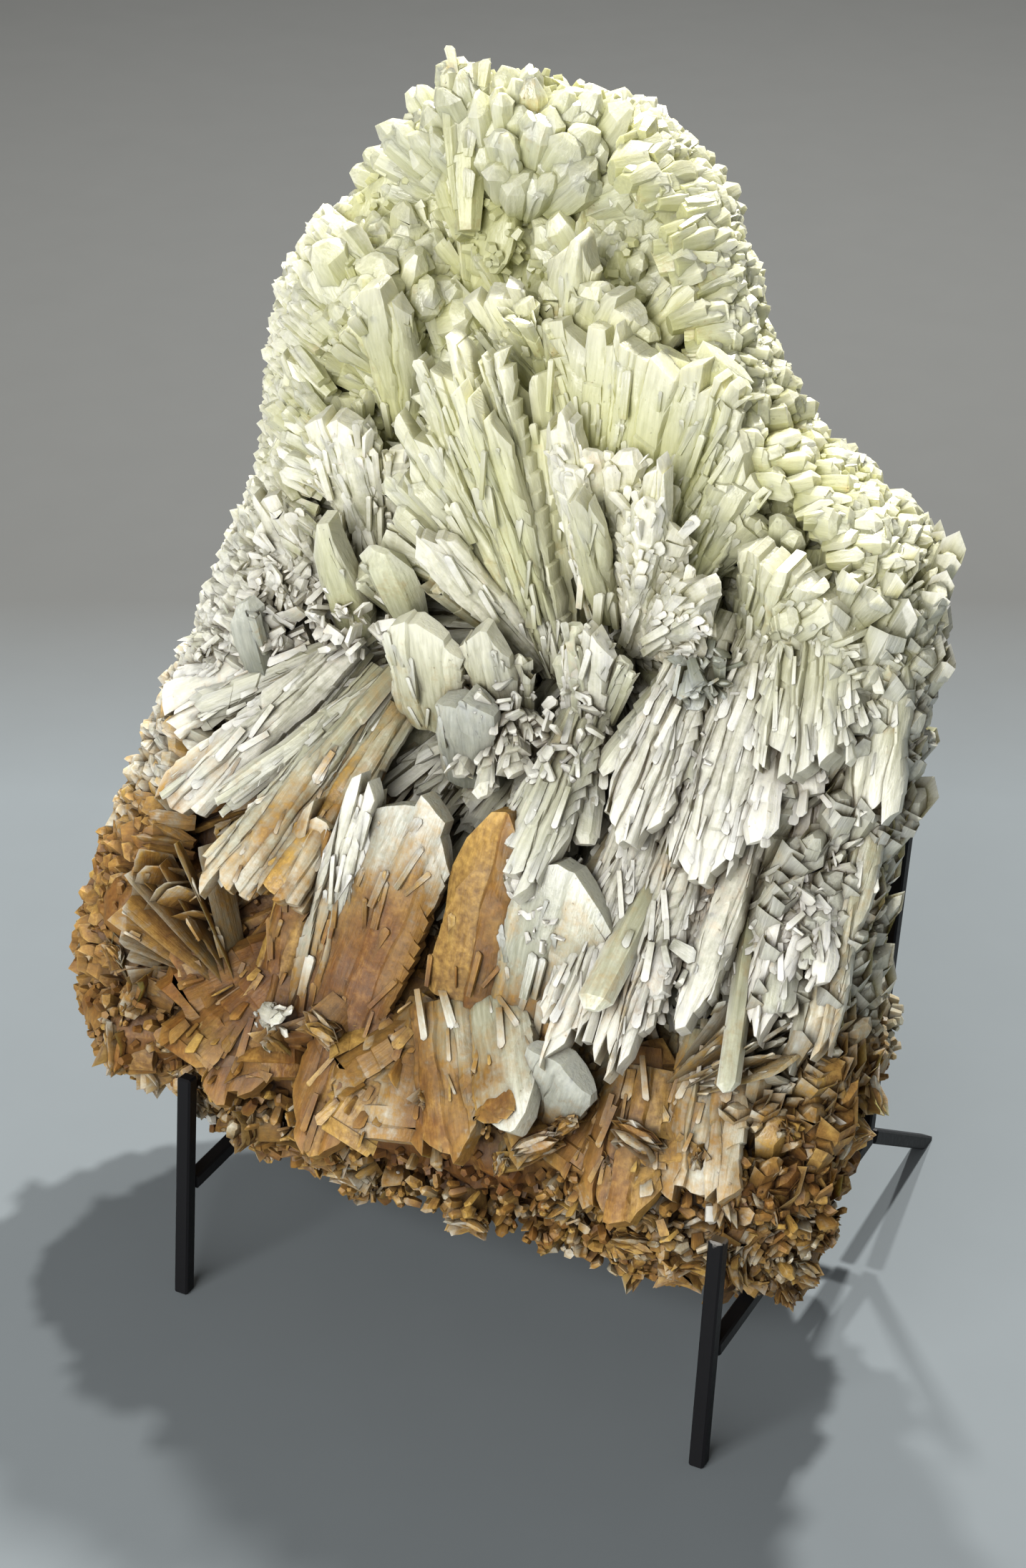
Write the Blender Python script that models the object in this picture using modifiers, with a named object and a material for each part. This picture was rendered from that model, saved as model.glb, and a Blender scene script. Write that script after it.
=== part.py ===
"""Barite crystal cluster leaning on a small black stand of welded square bar.

Lengths are written in millimetres in the stand's own frame: x across, y back, z up, with the
origin on the floor midway between the two front feet. One empty then moves everything so that
the origin is under the middle of the whole object.
"""
import random
from collections import namedtuple
from math import acos, copysign, cos, pi, radians, sin, sqrt, tan

import bmesh
import bpy
from mathutils import Matrix, Vector, noise

MM = 0.001
GAP = 0.3

# Stand of square bar
BAR = 4.0
BAR_EDGE = 0.5
STAND_WIDTH = 150.0
POST_LEAN = radians(6.5)
POST_TOP = 64.0
RAIL_HEIGHT = 31.5
REAR_JOINT_DEPTH = 105.0
REAR_FOOT_DEPTH = 154.0
LEG_TOP_DROP = 1.2
UPRIGHT_LEAN = radians(10.0)
UPRIGHT_TOP = 166.0
UPPER_CROSSBAR_HEIGHT = 150.0
STEEL_COLOUR = (0.02, 0.02, 0.022)

# Finished outline of the cluster at some heights: left edge, right edge, front, back
Section = namedtuple("Section", "height left right front back")
SECTIONS = (
    Section(26.0, -50, 48, 34, 82),
    Section(33.5, -78, 80, 21, 98),
    Section(44.0, -90, 84, 14, 103),
    Section(52.0, -112, 86, 9, 106),
    Section(62.0, -125, 88, 8, 108),
    Section(78.0, -129, 89, 11, 110),
    Section(100.0, -126, 87, 22, 114),
    Section(125.0, -121, 87, 38, 119),
    Section(150.0, -115, 88, 54, 122),
    Section(175.0, -107, 89, 66, 127),
    Section(200.0, -98, 88, 72, 132),
    Section(213.0, -98, 80, 76, 134),
    Section(226.0, -99, 52, 81, 137),
    Section(245.0, -98, 36, 88, 141),
    Section(262.0, -89, 28, 96, 144),
    Section(278.0, -76, 23, 105, 147),
    Section(292.0, -68, 5, 114, 148),
    Section(302.0, -60, -24, 124, 148),
)
BOXY_POWER = 3.4
ROUND_POWER = 2.4
ROUND_FROM = 150.0
BACK_TAPER = 0.08
FACE_LIMIT = 0.97

# Rock body under the crystals: how far it lies inside the outline, and how rough it is
FRONT_CRUST = 13.0
SIDE_CRUST = 9.0
BACK_CRUST = 3.0
RING_POINTS = 20
LUMP_HEIGHT = 5.0
LUMP_SIZE = 24.0
BODY_MIDDLE = 80.0
STONE_COLOUR = (0.80, 0.79, 0.62)

# One crystal: share of its width that its chisel end takes, and how narrow and thin that end is
END_SHARE = 0.55
END_LIMIT = 0.4
END_NARROW = 0.55
END_THIN = 0.6
PLATE_SHARE = 0.72
MERGE = 0.001
LEVEL_ANGLE = radians(0.5)

# Fans of blades on the front: root across and up, depth of the root below the face,
# tip across and up, how far the tip stands out, blade width, thickness, blades, half spread
Fan = namedtuple("Fan", "name root_x root_z depth tip_x tip_z out width thick blades spread")
FANS = (
    Fan("apex", -44, 264, 8, -55, 307, 0, 15, 12, 1, 0),
    Fan("crown_columns", -16, 226, 22, -12, 279, 5, 15, 10, 5, 26),
    Fan("crown_right", -2, 236, 20, 22, 270, 3, 14, 9, 3, 20),
    Fan("left_dome", -64, 216, 22, -80, 263, 3, 18, 12, 3, 26),
    Fan("left_flank", -72, 200, 20, -94, 234, 2, 17, 12, 3, 24),
    Fan("centre_left_fan", -2, 168, 20, -32, 243, 11, 15, 13, 5, 14),
    Fan("centre_left_low", -6, 172, 18, -45, 214, 5, 13, 10, 3, 12),
    Fan("centre_right_fan", 8, 182, 20, 17, 253, 14, 17, 15, 5, 22),
    Fan("centre_right_front", 14, 178, 12, 27, 234, 18, 15, 10, 2, 10),
    Fan("centre_right_edge", 18, 182, 18, 47, 230, 8, 15, 12, 3, 12),
    Fan("right_rosette_top", 46, 182, 24, 70, 224, 4, 16, 11, 4, 30),
    Fan("right_rosette_side", 44, 180, 22, 84, 204, 2, 15, 10, 3, 20),
    Fan("right_drape", 62, 200, 16, 77, 162, 4, 18, 9, 3, 16),
    Fan("left_spears", -60, 162, 16, -65, 202, 7, 13, 9, 3, 24),
    Fan("left_feathers", -60, 184, 20, -68, 227, 3, 15, 10, 3, 24),
    Fan("left_feathers_low", -66, 166, 18, -92, 196, 3, 16, 11, 3, 28),
    Fan("rhomb_pair", -44, 170, 14, -44, 197, 6, 13, 9, 2, 12),
    Fan("flat_plate", -32, 152, 12, -34, 184, 10, 23, 7, 1, 0),
    Fan("plate_blades", -8, 148, 14, -16, 184, 7, 11, 7, 3, 14),
    Fan("blunt_crystals", -20, 172, 14, -31, 198, 3, 15, 11, 1, 0),
    Fan("sheaf", 10, 192, 16, 9, 130, 9, 11, 9, 4, 13),
    Fan("grey_chunk", -18, 142, 14, -20, 169, 7, 20, 13, 1, 0),
    Fan("white_drape_left", 34, 188, 16, 29, 136, 7, 15, 10, 3, 15),
    Fan("white_drape_right", 54, 188, 18, 60, 134, 6, 15, 10, 4, 20),
    Fan("long_blades_low", -44, 160, 12, -76, 108, 11, 15, 9, 3, 9),
    Fan("long_blades_high", -54, 168, 16, -104, 122, 7, 14, 9, 4, 14),
    Fan("left_mid_blades", -74, 158, 16, -112, 140, 2, 14, 9, 3, 20),
    Fan("stained_spears", -46, 138, 12, -65, 102, 7, 15, 9, 2, 9),
    Fan("great_plate", -46, 82, 12, -29, 145, 12, 26, 11, 2, 9),
    Fan("second_plate", -12, 100, 12, -4, 147, 9, 20, 10, 1, 0),
    Fan("pale_plate", 8, 90, 12, 13, 132, 10, 24, 11, 1, 0),
    Fan("curtain_left", 28, 150, 16, 27, 98, 8, 13, 9, 4, 15),
    Fan("curtain_middle", 46, 152, 16, 47, 94, 8, 15, 9, 3, 13),
    Fan("curtain_right", 66, 154, 16, 71, 100, 5, 14, 8, 4, 16),
    Fan("edge_plates", 52, 84, 14, 82, 110, 5, 18, 4, 3, 15),
    Fan("grey_blocks", 20, 74, 14, 30, 99, 8, 22, 12, 2, 22),
    Fan("boxwork_left", -70, 84, 14, -106, 108, 3, 20, 5, 3, 28),
    Fan("stained_fringe", -58, 96, 12, -68, 62, 6, 22, 11, 3, 32),
    Fan("stained_fringe_mid", -16, 96, 12, -20, 60, 8, 22, 11, 3, 30),
    Fan("stained_fringe_right", 40, 92, 14, 48, 56, 6, 24, 12, 2, 22),
)
FACE_OUT = Vector((0, -1, 0.35))
NEAR_STEP = 1.0
FAR_STEP = 2.5
SHORTER_AT_EDGES = 0.14
UNEVEN_LENGTH = 0.08
TWIST = 28.0

# Domes of stubby blades: centre, radii, number of blades, width, thickness
Rosette = namedtuple("Rosette", "name centre radii blades width thick")
ROSETTES = (
    Rosette("crown", (-33, 129, 257), (54, 27, 48), 20, 21, 15),
    Rosette("left_shoulder", (-69, 112, 232), (29, 26, 35), 11, 18, 13),
    Rosette("right_shoulder", (54, 106, 192), (33, 30, 31), 10, 17, 12),
)
DOME_REACH = 1.25
DOME_TILT = radians(38)
DOME_ROOT = 0.25
STUBBY_END = 0.62
STUBBY_ROOT = 0.8

# Crystals of the left flank and ridges of the right one, by angle round the outline
LEFT_HEIGHTS = range(84, 240, 30)
LEFT_ANGLES = (178, 200)
LEFT_WIDTH = 17.0
LEFT_THICK = 10.0
LEFT_DEPTH = 18.0
RIGHT_HEIGHTS = range(62, 240, 34)
RIGHT_ANGLES = (-28, 2, 34)
RIGHT_WIDTH = 17.0
RIGHT_THICK = 9.0
RIGHT_DEPTH = 14.0

# Lumps of the stained base, the sides and the back: centre and radii
Lump = namedtuple("Lump", "centre radii")
LUMPS = (
    Lump((-95, 14, 66), (30, 20, 16)),
    Lump((-66, 10, 56), (26, 15, 17)),
    Lump((-36, 10, 46), (26, 14, 15)),
    Lump((-4, 12, 46), (24, 14, 15)),
    Lump((28, 16, 48), (22, 14, 14)),
    Lump((58, 22, 50), (22, 14, 16)),
    Lump((74, 34, 46), (15, 18, 12)),
    Lump((-80, 14, 84), (26, 16, 14)),
    Lump((-110, 50, 92), (17, 28, 18)),
    Lump((-104, 84, 122), (18, 26, 26)),
    Lump((84, 74, 80), (9, 22, 26)),
    Lump((-58, 106, 84), (34, 12, 26)),
    Lump((22, 110, 98), (36, 12, 30)),
    Lump((-46, 122, 158), (34, 11, 26)),
    Lump((30, 122, 170), (30, 12, 26)),
    Lump((0, 60, 33), (50, 26, 9)),
)
LUMP_WOBBLE = 0.22
WOBBLE_SIZE = 1.7
SEED_STEP = 3.1


def outline_power(height):
    """Squareness of the outline: boxy at the base, rounder from the middle up."""
    base = SECTIONS[0].height
    share = min(max((height - base) / (ROUND_FROM - base), 0.0), 1.0)
    return BOXY_POWER + (ROUND_POWER - BOXY_POWER) * share


def section_at(height):
    """Section of the finished outline at any height, between the listed ones."""
    height = min(max(height, SECTIONS[0].height), SECTIONS[-1].height)
    for low, high in zip(SECTIONS, SECTIONS[1:]):
        if height <= high.height:
            share = (height - low.height) / (high.height - low.height)
            return Section(*(a + (b - a) * share for a, b in zip(low, high)))
    return SECTIONS[-1]


def outline_point(height, angle, front_inset=0.0, side_inset=0.0, back_inset=0.0):
    """Point on the outline at a height, or inside it; angle 0 is right, 90 degrees is back."""
    section = section_at(height)
    front = section.front + front_inset
    back = section.back - back_inset
    half_x = max((section.right - section.left) / 2 - side_inset, 2.0)
    half_y = max((back - front) / 2, 2.0)
    power = 2 / outline_power(height)
    across = copysign(abs(cos(angle)) ** power, cos(angle))
    depth = copysign(abs(sin(angle)) ** power, sin(angle))
    x = (section.left + section.right) / 2 + half_x * across * (1 - BACK_TAPER * depth)
    y = (front + back) / 2 + half_y * depth
    return Vector((x, y, height))


def face_point(x, z, out):
    """Point of the front face at x and z, standing out of it by a length, inward if negative."""
    section = section_at(z)
    power = outline_power(z)
    half_x = (section.right - section.left) / 2 * (1 + BACK_TAPER)
    share = min(abs(x - (section.left + section.right) / 2) / half_x, FACE_LIMIT)
    half_y = (section.back - section.front) / 2
    y = (section.front + section.back) / 2 - half_y * (1 - share ** power) ** (1 / power)
    return Vector((x, y - out, z))


def material(name, colour, roughness, metallic=0.0):
    """Plain Principled material."""
    made = bpy.data.materials.new(name)
    made.use_nodes = True
    shader = made.node_tree.nodes["Principled BSDF"]
    shader.inputs["Base Color"].default_value = (*colour, 1.0)
    shader.inputs["Roughness"].default_value = roughness
    shader.inputs["Metallic"].default_value = metallic
    return made


def new_object(name, bm, collection, finish=None):
    """Object from a bmesh drawn in millimetres."""
    bmesh.ops.scale(bm, vec=(MM, MM, MM), verts=bm.verts)
    mesh = bpy.data.meshes.new(name)
    bm.to_mesh(mesh)
    bm.free()
    made = bpy.data.objects.new(name, mesh)
    collection.objects.link(made)
    if finish:
        mesh.materials.append(finish)
    return made


def hide_guide(guide):
    """Show a cutter or guide as wire only."""
    guide.hide_render = True
    guide.display_type = "WIRE"


def aim(direction, side):
    """Rotation that turns +Z to a direction and +X as near to side as it goes."""
    up = direction.normalized()
    across = (side - up * side.dot(up)).normalized()
    return Matrix((across, up.cross(across), up)).transposed().to_4x4()


def add_crystal(bm, base, tip, width, thick, side, end=END_NARROW, root=0.5):
    """Tabular crystal with a chisel end: a thin one is four-sided, a stout one six-sided."""
    plate = thick < PLATE_SHARE * width
    sides = 4 if plate else 6
    radius = sqrt(0.5) if plate else 0.5
    turned = Matrix.Rotation(pi / 4 if plate else 0.0, 4, "Z")
    length = (tip - base).length
    shoulder = length - min(width * END_SHARE, length * END_LIMIT)
    made = bmesh.ops.create_cone(
        bm, cap_ends=True, segments=sides, radius1=radius * root, radius2=radius,
        depth=shoulder, matrix=Matrix.Translation((0, 0, shoulder / 2)) @ turned)
    verts = made["verts"]
    top = [v for v in verts if v.co.z > shoulder / 2]
    cap = next(f for f in top[0].link_faces if all(v in top for v in f.verts))
    grown = bmesh.ops.extrude_discrete_faces(bm, faces=[cap])["faces"][0]
    for vert in grown.verts:
        vert.co.x *= end
        vert.co.y *= end * END_THIN
        vert.co.z = length
    place = Matrix.Translation(base) @ aim(tip - base, side)
    place @= Matrix.Diagonal((width, thick, 1, 1))
    bmesh.ops.transform(bm, matrix=place, verts=list(set(verts) | set(grown.verts)))


def add_fan(bm, fan, rng):
    """One fan: blades side by side from one root, alternately nearer and further out."""
    root = face_point(fan.root_x, fan.root_z, -fan.depth)
    axis = face_point(fan.tip_x, fan.tip_z, fan.out) - root
    for i in range(fan.blades):
        share = 2 * i / (fan.blades - 1) - 1 if fan.blades > 1 else 0.0
        swing = Matrix.Rotation(radians(fan.spread) * share, 3, FACE_OUT)
        lift = FACE_OUT * (NEAR_STEP if i % 2 == 0 else -FAR_STEP)
        shorter = SHORTER_AT_EDGES * share * share + UNEVEN_LENGTH * rng.random()
        along = (swing @ axis).normalized()
        tip = root + along * axis.length * (1 - shorter) + lift
        twist = Matrix.Rotation(radians(rng.uniform(-TWIST, TWIST)), 3, along)
        add_crystal(bm, root + lift / 2, tip, fan.width, fan.thick, twist @ along.cross(FACE_OUT))


def add_rosette(bm, rosette, rng):
    """One dome: stubby blades that all point away from its centre."""
    golden = pi * (3 - sqrt(5))
    centre = Vector(rosette.centre)
    tilt = Matrix.Rotation(DOME_TILT, 3, "X")
    for i in range(rosette.blades):
        polar = acos(1 - DOME_REACH * (i + 0.5) / rosette.blades)
        turn = golden * i
        ray = tilt @ Vector((sin(polar) * cos(turn), sin(polar) * sin(turn), cos(polar)))
        reach = Vector([r * size for r, size in zip(ray, rosette.radii)])
        reach *= rng.uniform(0.92, 1.06)
        size = rng.uniform(0.85, 1.2)
        add_crystal(bm, centre + reach * DOME_ROOT, centre + reach, rosette.width * size,
                    rosette.thick * size, reach.cross(FACE_OUT), STUBBY_END, STUBBY_ROOT)


def add_flanks(bm, rng):
    """Stubby crystals on the left flank and tall ridges on the right one."""
    for step, height in enumerate(LEFT_HEIGHTS):
        for angle in LEFT_ANGLES[:1 + step % 2]:
            root = outline_point(height - 8, radians(angle), FRONT_CRUST, LEFT_DEPTH, BACK_CRUST)
            tip = outline_point(height + rng.uniform(4, 12), radians(angle))
            add_crystal(bm, root, tip, LEFT_WIDTH, LEFT_THICK, FACE_OUT, root=STUBBY_ROOT)
    for step, height in enumerate(RIGHT_HEIGHTS):
        for angle in RIGHT_ANGLES[:3 - step // 2]:
            root = outline_point(height - 16, radians(angle), FRONT_CRUST, RIGHT_DEPTH, BACK_CRUST)
            tip = outline_point(height + rng.uniform(14, 24), radians(angle))
            add_crystal(bm, root, tip, RIGHT_WIDTH, RIGHT_THICK, FACE_OUT)


def add_lump(bm, lump, seed):
    """Low rock lump: a coarse icosphere with uneven corners."""
    made = bmesh.ops.create_icosphere(bm, subdivisions=1, radius=1.0)
    for vert in made["verts"]:
        wobble = 1 + LUMP_WOBBLE * noise.noise(vert.co * WOBBLE_SIZE + Vector((seed, 0, 0)))
        stretched = Vector([c * size for c, size in zip(vert.co, lump.radii)])
        vert.co = stretched * wobble + Vector(lump.centre)


def rock_body():
    """Loft through the inset sections, with lumps and hollows on its skin."""
    bm = bmesh.new()
    rings = []
    for section in SECTIONS:
        ring = []
        for i in range(RING_POINTS):
            point = outline_point(section.height, 2 * pi * i / RING_POINTS,
                                  FRONT_CRUST, SIDE_CRUST, BACK_CRUST)
            outward = (point - Vector((0, BODY_MIDDLE, section.height))).normalized()
            bump = noise.noise(point / LUMP_SIZE) * LUMP_HEIGHT
            ring.append(bm.verts.new(point + outward * bump))
        rings.append(ring)
    for low, high in zip(rings, rings[1:]):
        for i in range(RING_POINTS):
            j = (i + 1) % RING_POINTS
            bm.faces.new((low[i], low[j], high[j], high[i]))
    bm.faces.new(reversed(rings[0]))
    bm.faces.new(rings[-1])
    return bm


def crystal_growth():
    """Everything that grew on the rock body, as overlapping closed shapes."""
    bm = bmesh.new()
    for number, fan in enumerate(FANS):
        add_fan(bm, fan, random.Random(number))
    for number, rosette in enumerate(ROSETTES):
        add_rosette(bm, rosette, random.Random(len(FANS) + number))
    add_flanks(bm, random.Random(len(FANS) + len(ROSETTES)))
    for number, lump in enumerate(LUMPS):
        add_lump(bm, lump, number * SEED_STEP)
    return bm


def bar_mesh(start, end, thick, floor):
    """Square bar between two points; a floor bar has its lower end cut level at z = 0."""
    bm = bmesh.new()
    verts = bmesh.ops.create_cube(bm, size=1.0)["verts"]
    axis = (end - start).normalized()
    side = Vector((0, 1, 0)) if abs(axis.x) > 0.5 else Vector((1, 0, 0))
    place = Matrix.Translation((start + end) / 2) @ aim(axis, side)
    place @= Matrix.Diagonal((thick, thick, (end - start).length, 1))
    bmesh.ops.transform(bm, matrix=place, verts=verts)
    if floor:
        for vert in sorted(verts, key=lambda v: v.co.z)[:4]:
            vert.co -= axis * (vert.co.z / axis.z)
    return bm


def on_post(height, side):
    """Centre of a front post at a height."""
    return Vector((side * STAND_WIDTH / 2, height * tan(POST_LEAN), height))


def on_upright(height, side):
    """Centre of a rear upright at a height."""
    depth = REAR_JOINT_DEPTH + (height - RAIL_HEIGHT) * tan(UPRIGHT_LEAN)
    return Vector((side * STAND_WIDTH / 2, depth, height))


def side_bars(word, side):
    """Bars of one side of the stand: name, start, end and whether it stands on the floor."""
    x = side * STAND_WIDTH / 2
    half = BAR / 2
    rail_front = on_post(RAIL_HEIGHT, side).y + half / cos(POST_LEAN) + 2 * GAP
    rail_back = REAR_JOINT_DEPTH + half
    leg_top = Vector((x, rail_back + half + GAP, RAIL_HEIGHT - LEG_TOP_DROP))
    upright_foot = on_upright(RAIL_HEIGHT + half + 2 * GAP + half * sin(UPRIGHT_LEAN), side)
    return (
        (f"front_post_{word}", on_post(0, side), on_post(POST_TOP, side), True),
        (f"side_rail_{word}", Vector((x, rail_front, RAIL_HEIGHT)),
         Vector((x, rail_back, RAIL_HEIGHT)), False),
        (f"upright_{word}", upright_foot, on_upright(UPRIGHT_TOP, side), False),
        (f"rear_leg_{word}", Vector((x, REAR_FOOT_DEPTH, 0)), leg_top, True),
    )


def stand_bars():
    """Every bar of the stand: both sides and the two bars across."""
    reach = STAND_WIDTH / 2 - BAR / 2 - GAP
    low = Vector((reach, REAR_JOINT_DEPTH - BAR / 2, RAIL_HEIGHT))
    high = Vector((reach, on_upright(UPPER_CROSSBAR_HEIGHT, 1).y, UPPER_CROSSBAR_HEIGHT))
    mirrored = Vector((-1, 1, 1))
    return (
        *side_bars("left", -1),
        *side_bars("right", 1),
        ("lower_crossbar", low * mirrored, low, False),
        ("upper_crossbar", high * mirrored, high, False),
    )


def build_stand(collection, steel):
    """One object a bar, with small worn edges."""
    bars = []
    for name, start, end, floor in stand_bars():
        bar = new_object(name, bar_mesh(start, end, BAR, floor), collection, steel)
        edges = bar.modifiers.new("worn edges", "BEVEL")
        edges.width = BAR_EDGE * MM
        edges.segments = 1
        edges.limit_method = "ANGLE"
        bars.append(bar)
    return bars


def stand_clearance(collection):
    """Guides a little thicker and longer than the bars, which keep the cluster off them."""
    guides = []
    for name, start, end, _ in stand_bars():
        longer = (end - start).normalized() * 2 * GAP
        mesh = bar_mesh(start - longer, end + longer, BAR + 2 * GAP, False)
        guide = new_object(f"room_for_{name}", mesh, collection)
        hide_guide(guide)
        guides.append(guide)
    return guides


def shells_of(bm):
    """Groups of faces joined by clean edges, smallest first."""
    left = set(bm.faces)
    shells = []
    while left:
        first = left.pop()
        shell = {first}
        border = [first]
        while border:
            for edge in border.pop().edges:
                if len(edge.link_faces) != 2:
                    continue
                for face in edge.link_faces:
                    if face in left:
                        left.discard(face)
                        shell.add(face)
                        border.append(face)
        shells.append(shell)
    return sorted(shells, key=len)


def clean_skin(mesh):
    """Merge what is level, and keep the outer shell, so that no pocket stays sealed inside."""
    bm = bmesh.new()
    bm.from_mesh(mesh)
    bmesh.ops.dissolve_degenerate(bm, edges=bm.edges, dist=MERGE * MM)
    bmesh.ops.dissolve_limit(bm, angle_limit=LEVEL_ANGLE, verts=bm.verts, edges=bm.edges)
    bmesh.ops.triangulate(bm, faces=bm.faces)
    for shell in shells_of(bm)[:-1]:
        bmesh.ops.delete(bm, geom=list(shell), context="FACES")
    bm.to_mesh(mesh)
    bm.free()


def add_boolean(body, name, operation, other):
    """Exact Boolean of a body with another object."""
    step = body.modifiers.new(name, "BOOLEAN")
    step.operation = operation
    step.solver = "EXACT"
    step.use_self = operation == "UNION"
    step.object = other


def build_cluster(collection, cutters, stone):
    """The whole cluster in one solid: rock body and crystals, clear of the stand."""
    cluster = new_object("barite_cluster", rock_body(), collection, stone)
    growth = new_object("crystal_growth", crystal_growth(), cutters)
    hide_guide(growth)
    add_boolean(cluster, "grown together", "UNION", growth)
    for guide in stand_clearance(cutters):
        add_boolean(cluster, guide.name, "DIFFERENCE", guide)
    depsgraph = bpy.context.evaluated_depsgraph_get()
    joined = bpy.data.meshes.new_from_object(cluster.evaluated_get(depsgraph))
    cluster.modifiers.clear()
    clean_skin(joined)
    cluster.data = joined
    return cluster


def centre_on_floor(parts, collection):
    """Parent everything to an empty that puts the origin under the middle of the object."""
    corners = [Vector(corner) for part in parts for corner in part.bound_box]
    middle = [(min(c[i] for c in corners) + max(c[i] for c in corners)) / 2 for i in (0, 1)]
    under = bpy.data.objects.new("under_the_middle", None)
    collection.objects.link(under)
    under.location = (-middle[0], -middle[1], 0)
    for part in parts:
        part.parent = under


def main():
    for old in list(bpy.data.objects):
        bpy.data.objects.remove(old)
    parts = bpy.data.collections.new("barite_on_stand")
    cutters = bpy.data.collections.new("cutters")
    bpy.context.scene.collection.children.link(parts)
    bpy.context.scene.collection.children.link(cutters)
    stone = material("barite", STONE_COLOUR, 0.35)
    steel = material("black_painted_steel", STEEL_COLOUR, 0.45)
    made = [*build_stand(parts, steel), build_cluster(parts, cutters, stone)]
    bpy.context.view_layer.update()
    centre_on_floor(made, parts)
    bpy.context.view_layer.update()


main()
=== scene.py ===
# %% [markdown]
# # A barite cluster on its stand
# The real thing is one heavy growth of tabular barite. Pale green-yellow blades fan out of a
# white middle, and the lower third is stained with rust. It leans on a small black stand.
# The packed CAD part gives the frame: its stand stays as it is, and finer crystals take the
# place of its coarse cluster. First come the modules and the frame with its box.

# %% Load the frame
import random
from collections import namedtuple
from math import acos, copysign, cos, pi, radians, sin, sqrt, tan

import bpy
import numpy as np
from mathutils import Matrix, Vector, noise


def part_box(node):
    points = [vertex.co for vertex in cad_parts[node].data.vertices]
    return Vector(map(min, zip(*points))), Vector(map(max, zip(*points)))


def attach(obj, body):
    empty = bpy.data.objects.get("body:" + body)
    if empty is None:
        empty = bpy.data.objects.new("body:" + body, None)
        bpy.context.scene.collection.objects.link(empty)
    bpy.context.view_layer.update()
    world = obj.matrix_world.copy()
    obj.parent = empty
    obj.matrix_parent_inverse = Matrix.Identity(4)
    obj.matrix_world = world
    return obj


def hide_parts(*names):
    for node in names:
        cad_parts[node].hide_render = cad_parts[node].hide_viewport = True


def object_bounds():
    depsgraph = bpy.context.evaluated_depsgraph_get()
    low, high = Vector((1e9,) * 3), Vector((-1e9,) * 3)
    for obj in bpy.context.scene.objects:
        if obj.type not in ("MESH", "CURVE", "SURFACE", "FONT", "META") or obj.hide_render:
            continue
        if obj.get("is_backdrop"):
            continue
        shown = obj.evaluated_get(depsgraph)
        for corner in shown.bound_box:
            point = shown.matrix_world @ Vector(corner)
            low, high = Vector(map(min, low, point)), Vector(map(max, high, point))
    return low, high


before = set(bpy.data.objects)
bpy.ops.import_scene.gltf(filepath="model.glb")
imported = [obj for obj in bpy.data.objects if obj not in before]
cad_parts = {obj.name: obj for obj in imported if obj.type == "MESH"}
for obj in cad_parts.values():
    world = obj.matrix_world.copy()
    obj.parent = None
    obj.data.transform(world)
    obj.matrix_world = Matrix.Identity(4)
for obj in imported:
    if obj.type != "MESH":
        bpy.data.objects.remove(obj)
frame_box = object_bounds()
print("CAD nodes:", len(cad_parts), "box:", [tuple(round(c, 4) for c in v) for v in frame_box])

# %% [markdown]
# Every length below is in millimetres in the stand's own frame: x across, y back, z up from the
# floor, with the origin between the two front feet. The feet of the packed part say where that
# origin lies in the world, so nothing has to be moved afterwards.

# %% The stand's frame
MM = 0.001
BAR = 4.0
STAND_WIDTH = 150.0
POST_LEAN = radians(6.5)
POST_TOP = 64.0
RAIL_HEIGHT = 31.5
REAR_JOINT_DEPTH = 105.0
REAR_FOOT_DEPTH = 154.0
UPRIGHT_LEAN = radians(10.0)
UPRIGHT_TOP = 166.0
UPPER_CROSSBAR_HEIGHT = 150.0

post_low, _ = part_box("front_post_left")
_, other_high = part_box("front_post_right")
ORIGIN = Vector(((post_low.x + other_high.x) / 2 / MM,
                 post_low.y / MM + BAR / 2 / cos(POST_LEAN), 0.0))
print("stand origin in the world, mm:", [round(c, 2) for c in ORIGIN])

# %% [markdown]
# The cluster's outline is a stack of sections, one for each height at which its edges were read
# off. Each section is a squarish oval. Helpers turn that into points: one goes round the
# outline by angle, and one finds the front face behind any spot, so a crystal can be planted by
# where it appears from the front. A third gives the level way out from the cluster's middle.

# %% Outline of the cluster
Section = namedtuple("Section", "height left right front back")
SECTIONS = tuple(Section(*row) for row in (
    (26.0, -50, 48, 34, 82), (33.5, -78, 80, 21, 98), (44.0, -90, 84, 14, 103),
    (52.0, -112, 86, 9, 106), (62.0, -125, 88, 8, 108), (78.0, -129, 89, 11, 110),
    (100.0, -126, 87, 22, 114), (125.0, -121, 87, 38, 119), (150.0, -115, 88, 54, 122),
    (175.0, -107, 89, 66, 127), (200.0, -98, 88, 72, 132), (213.0, -98, 80, 76, 134),
    (226.0, -99, 52, 81, 137), (245.0, -98, 36, 88, 141), (262.0, -89, 28, 96, 144),
    (278.0, -76, 18, 105, 147), (292.0, -68, -5, 114, 148), (302.0, -60, -30, 124, 148)))
MIDDLE_X = -12.0
MIDDLE_Y = 80.0
BOXY_POWER = 3.4
ROUND_POWER = 2.4
ROUND_FROM = 150.0
BACK_TAPER = 0.08
FACE_LIMIT = 0.97


def smooth(low, high, value):
    """0 below low, 1 above high, and a soft step between."""
    share = min(max((value - low) / (high - low), 0.0), 1.0)
    return share * share * (3 - 2 * share)


def outline_power(height):
    """Squareness of the outline: boxy at the base, rounder from the middle up."""
    base = SECTIONS[0].height
    share = min(max((height - base) / (ROUND_FROM - base), 0.0), 1.0)
    return BOXY_POWER + (ROUND_POWER - BOXY_POWER) * share


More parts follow.
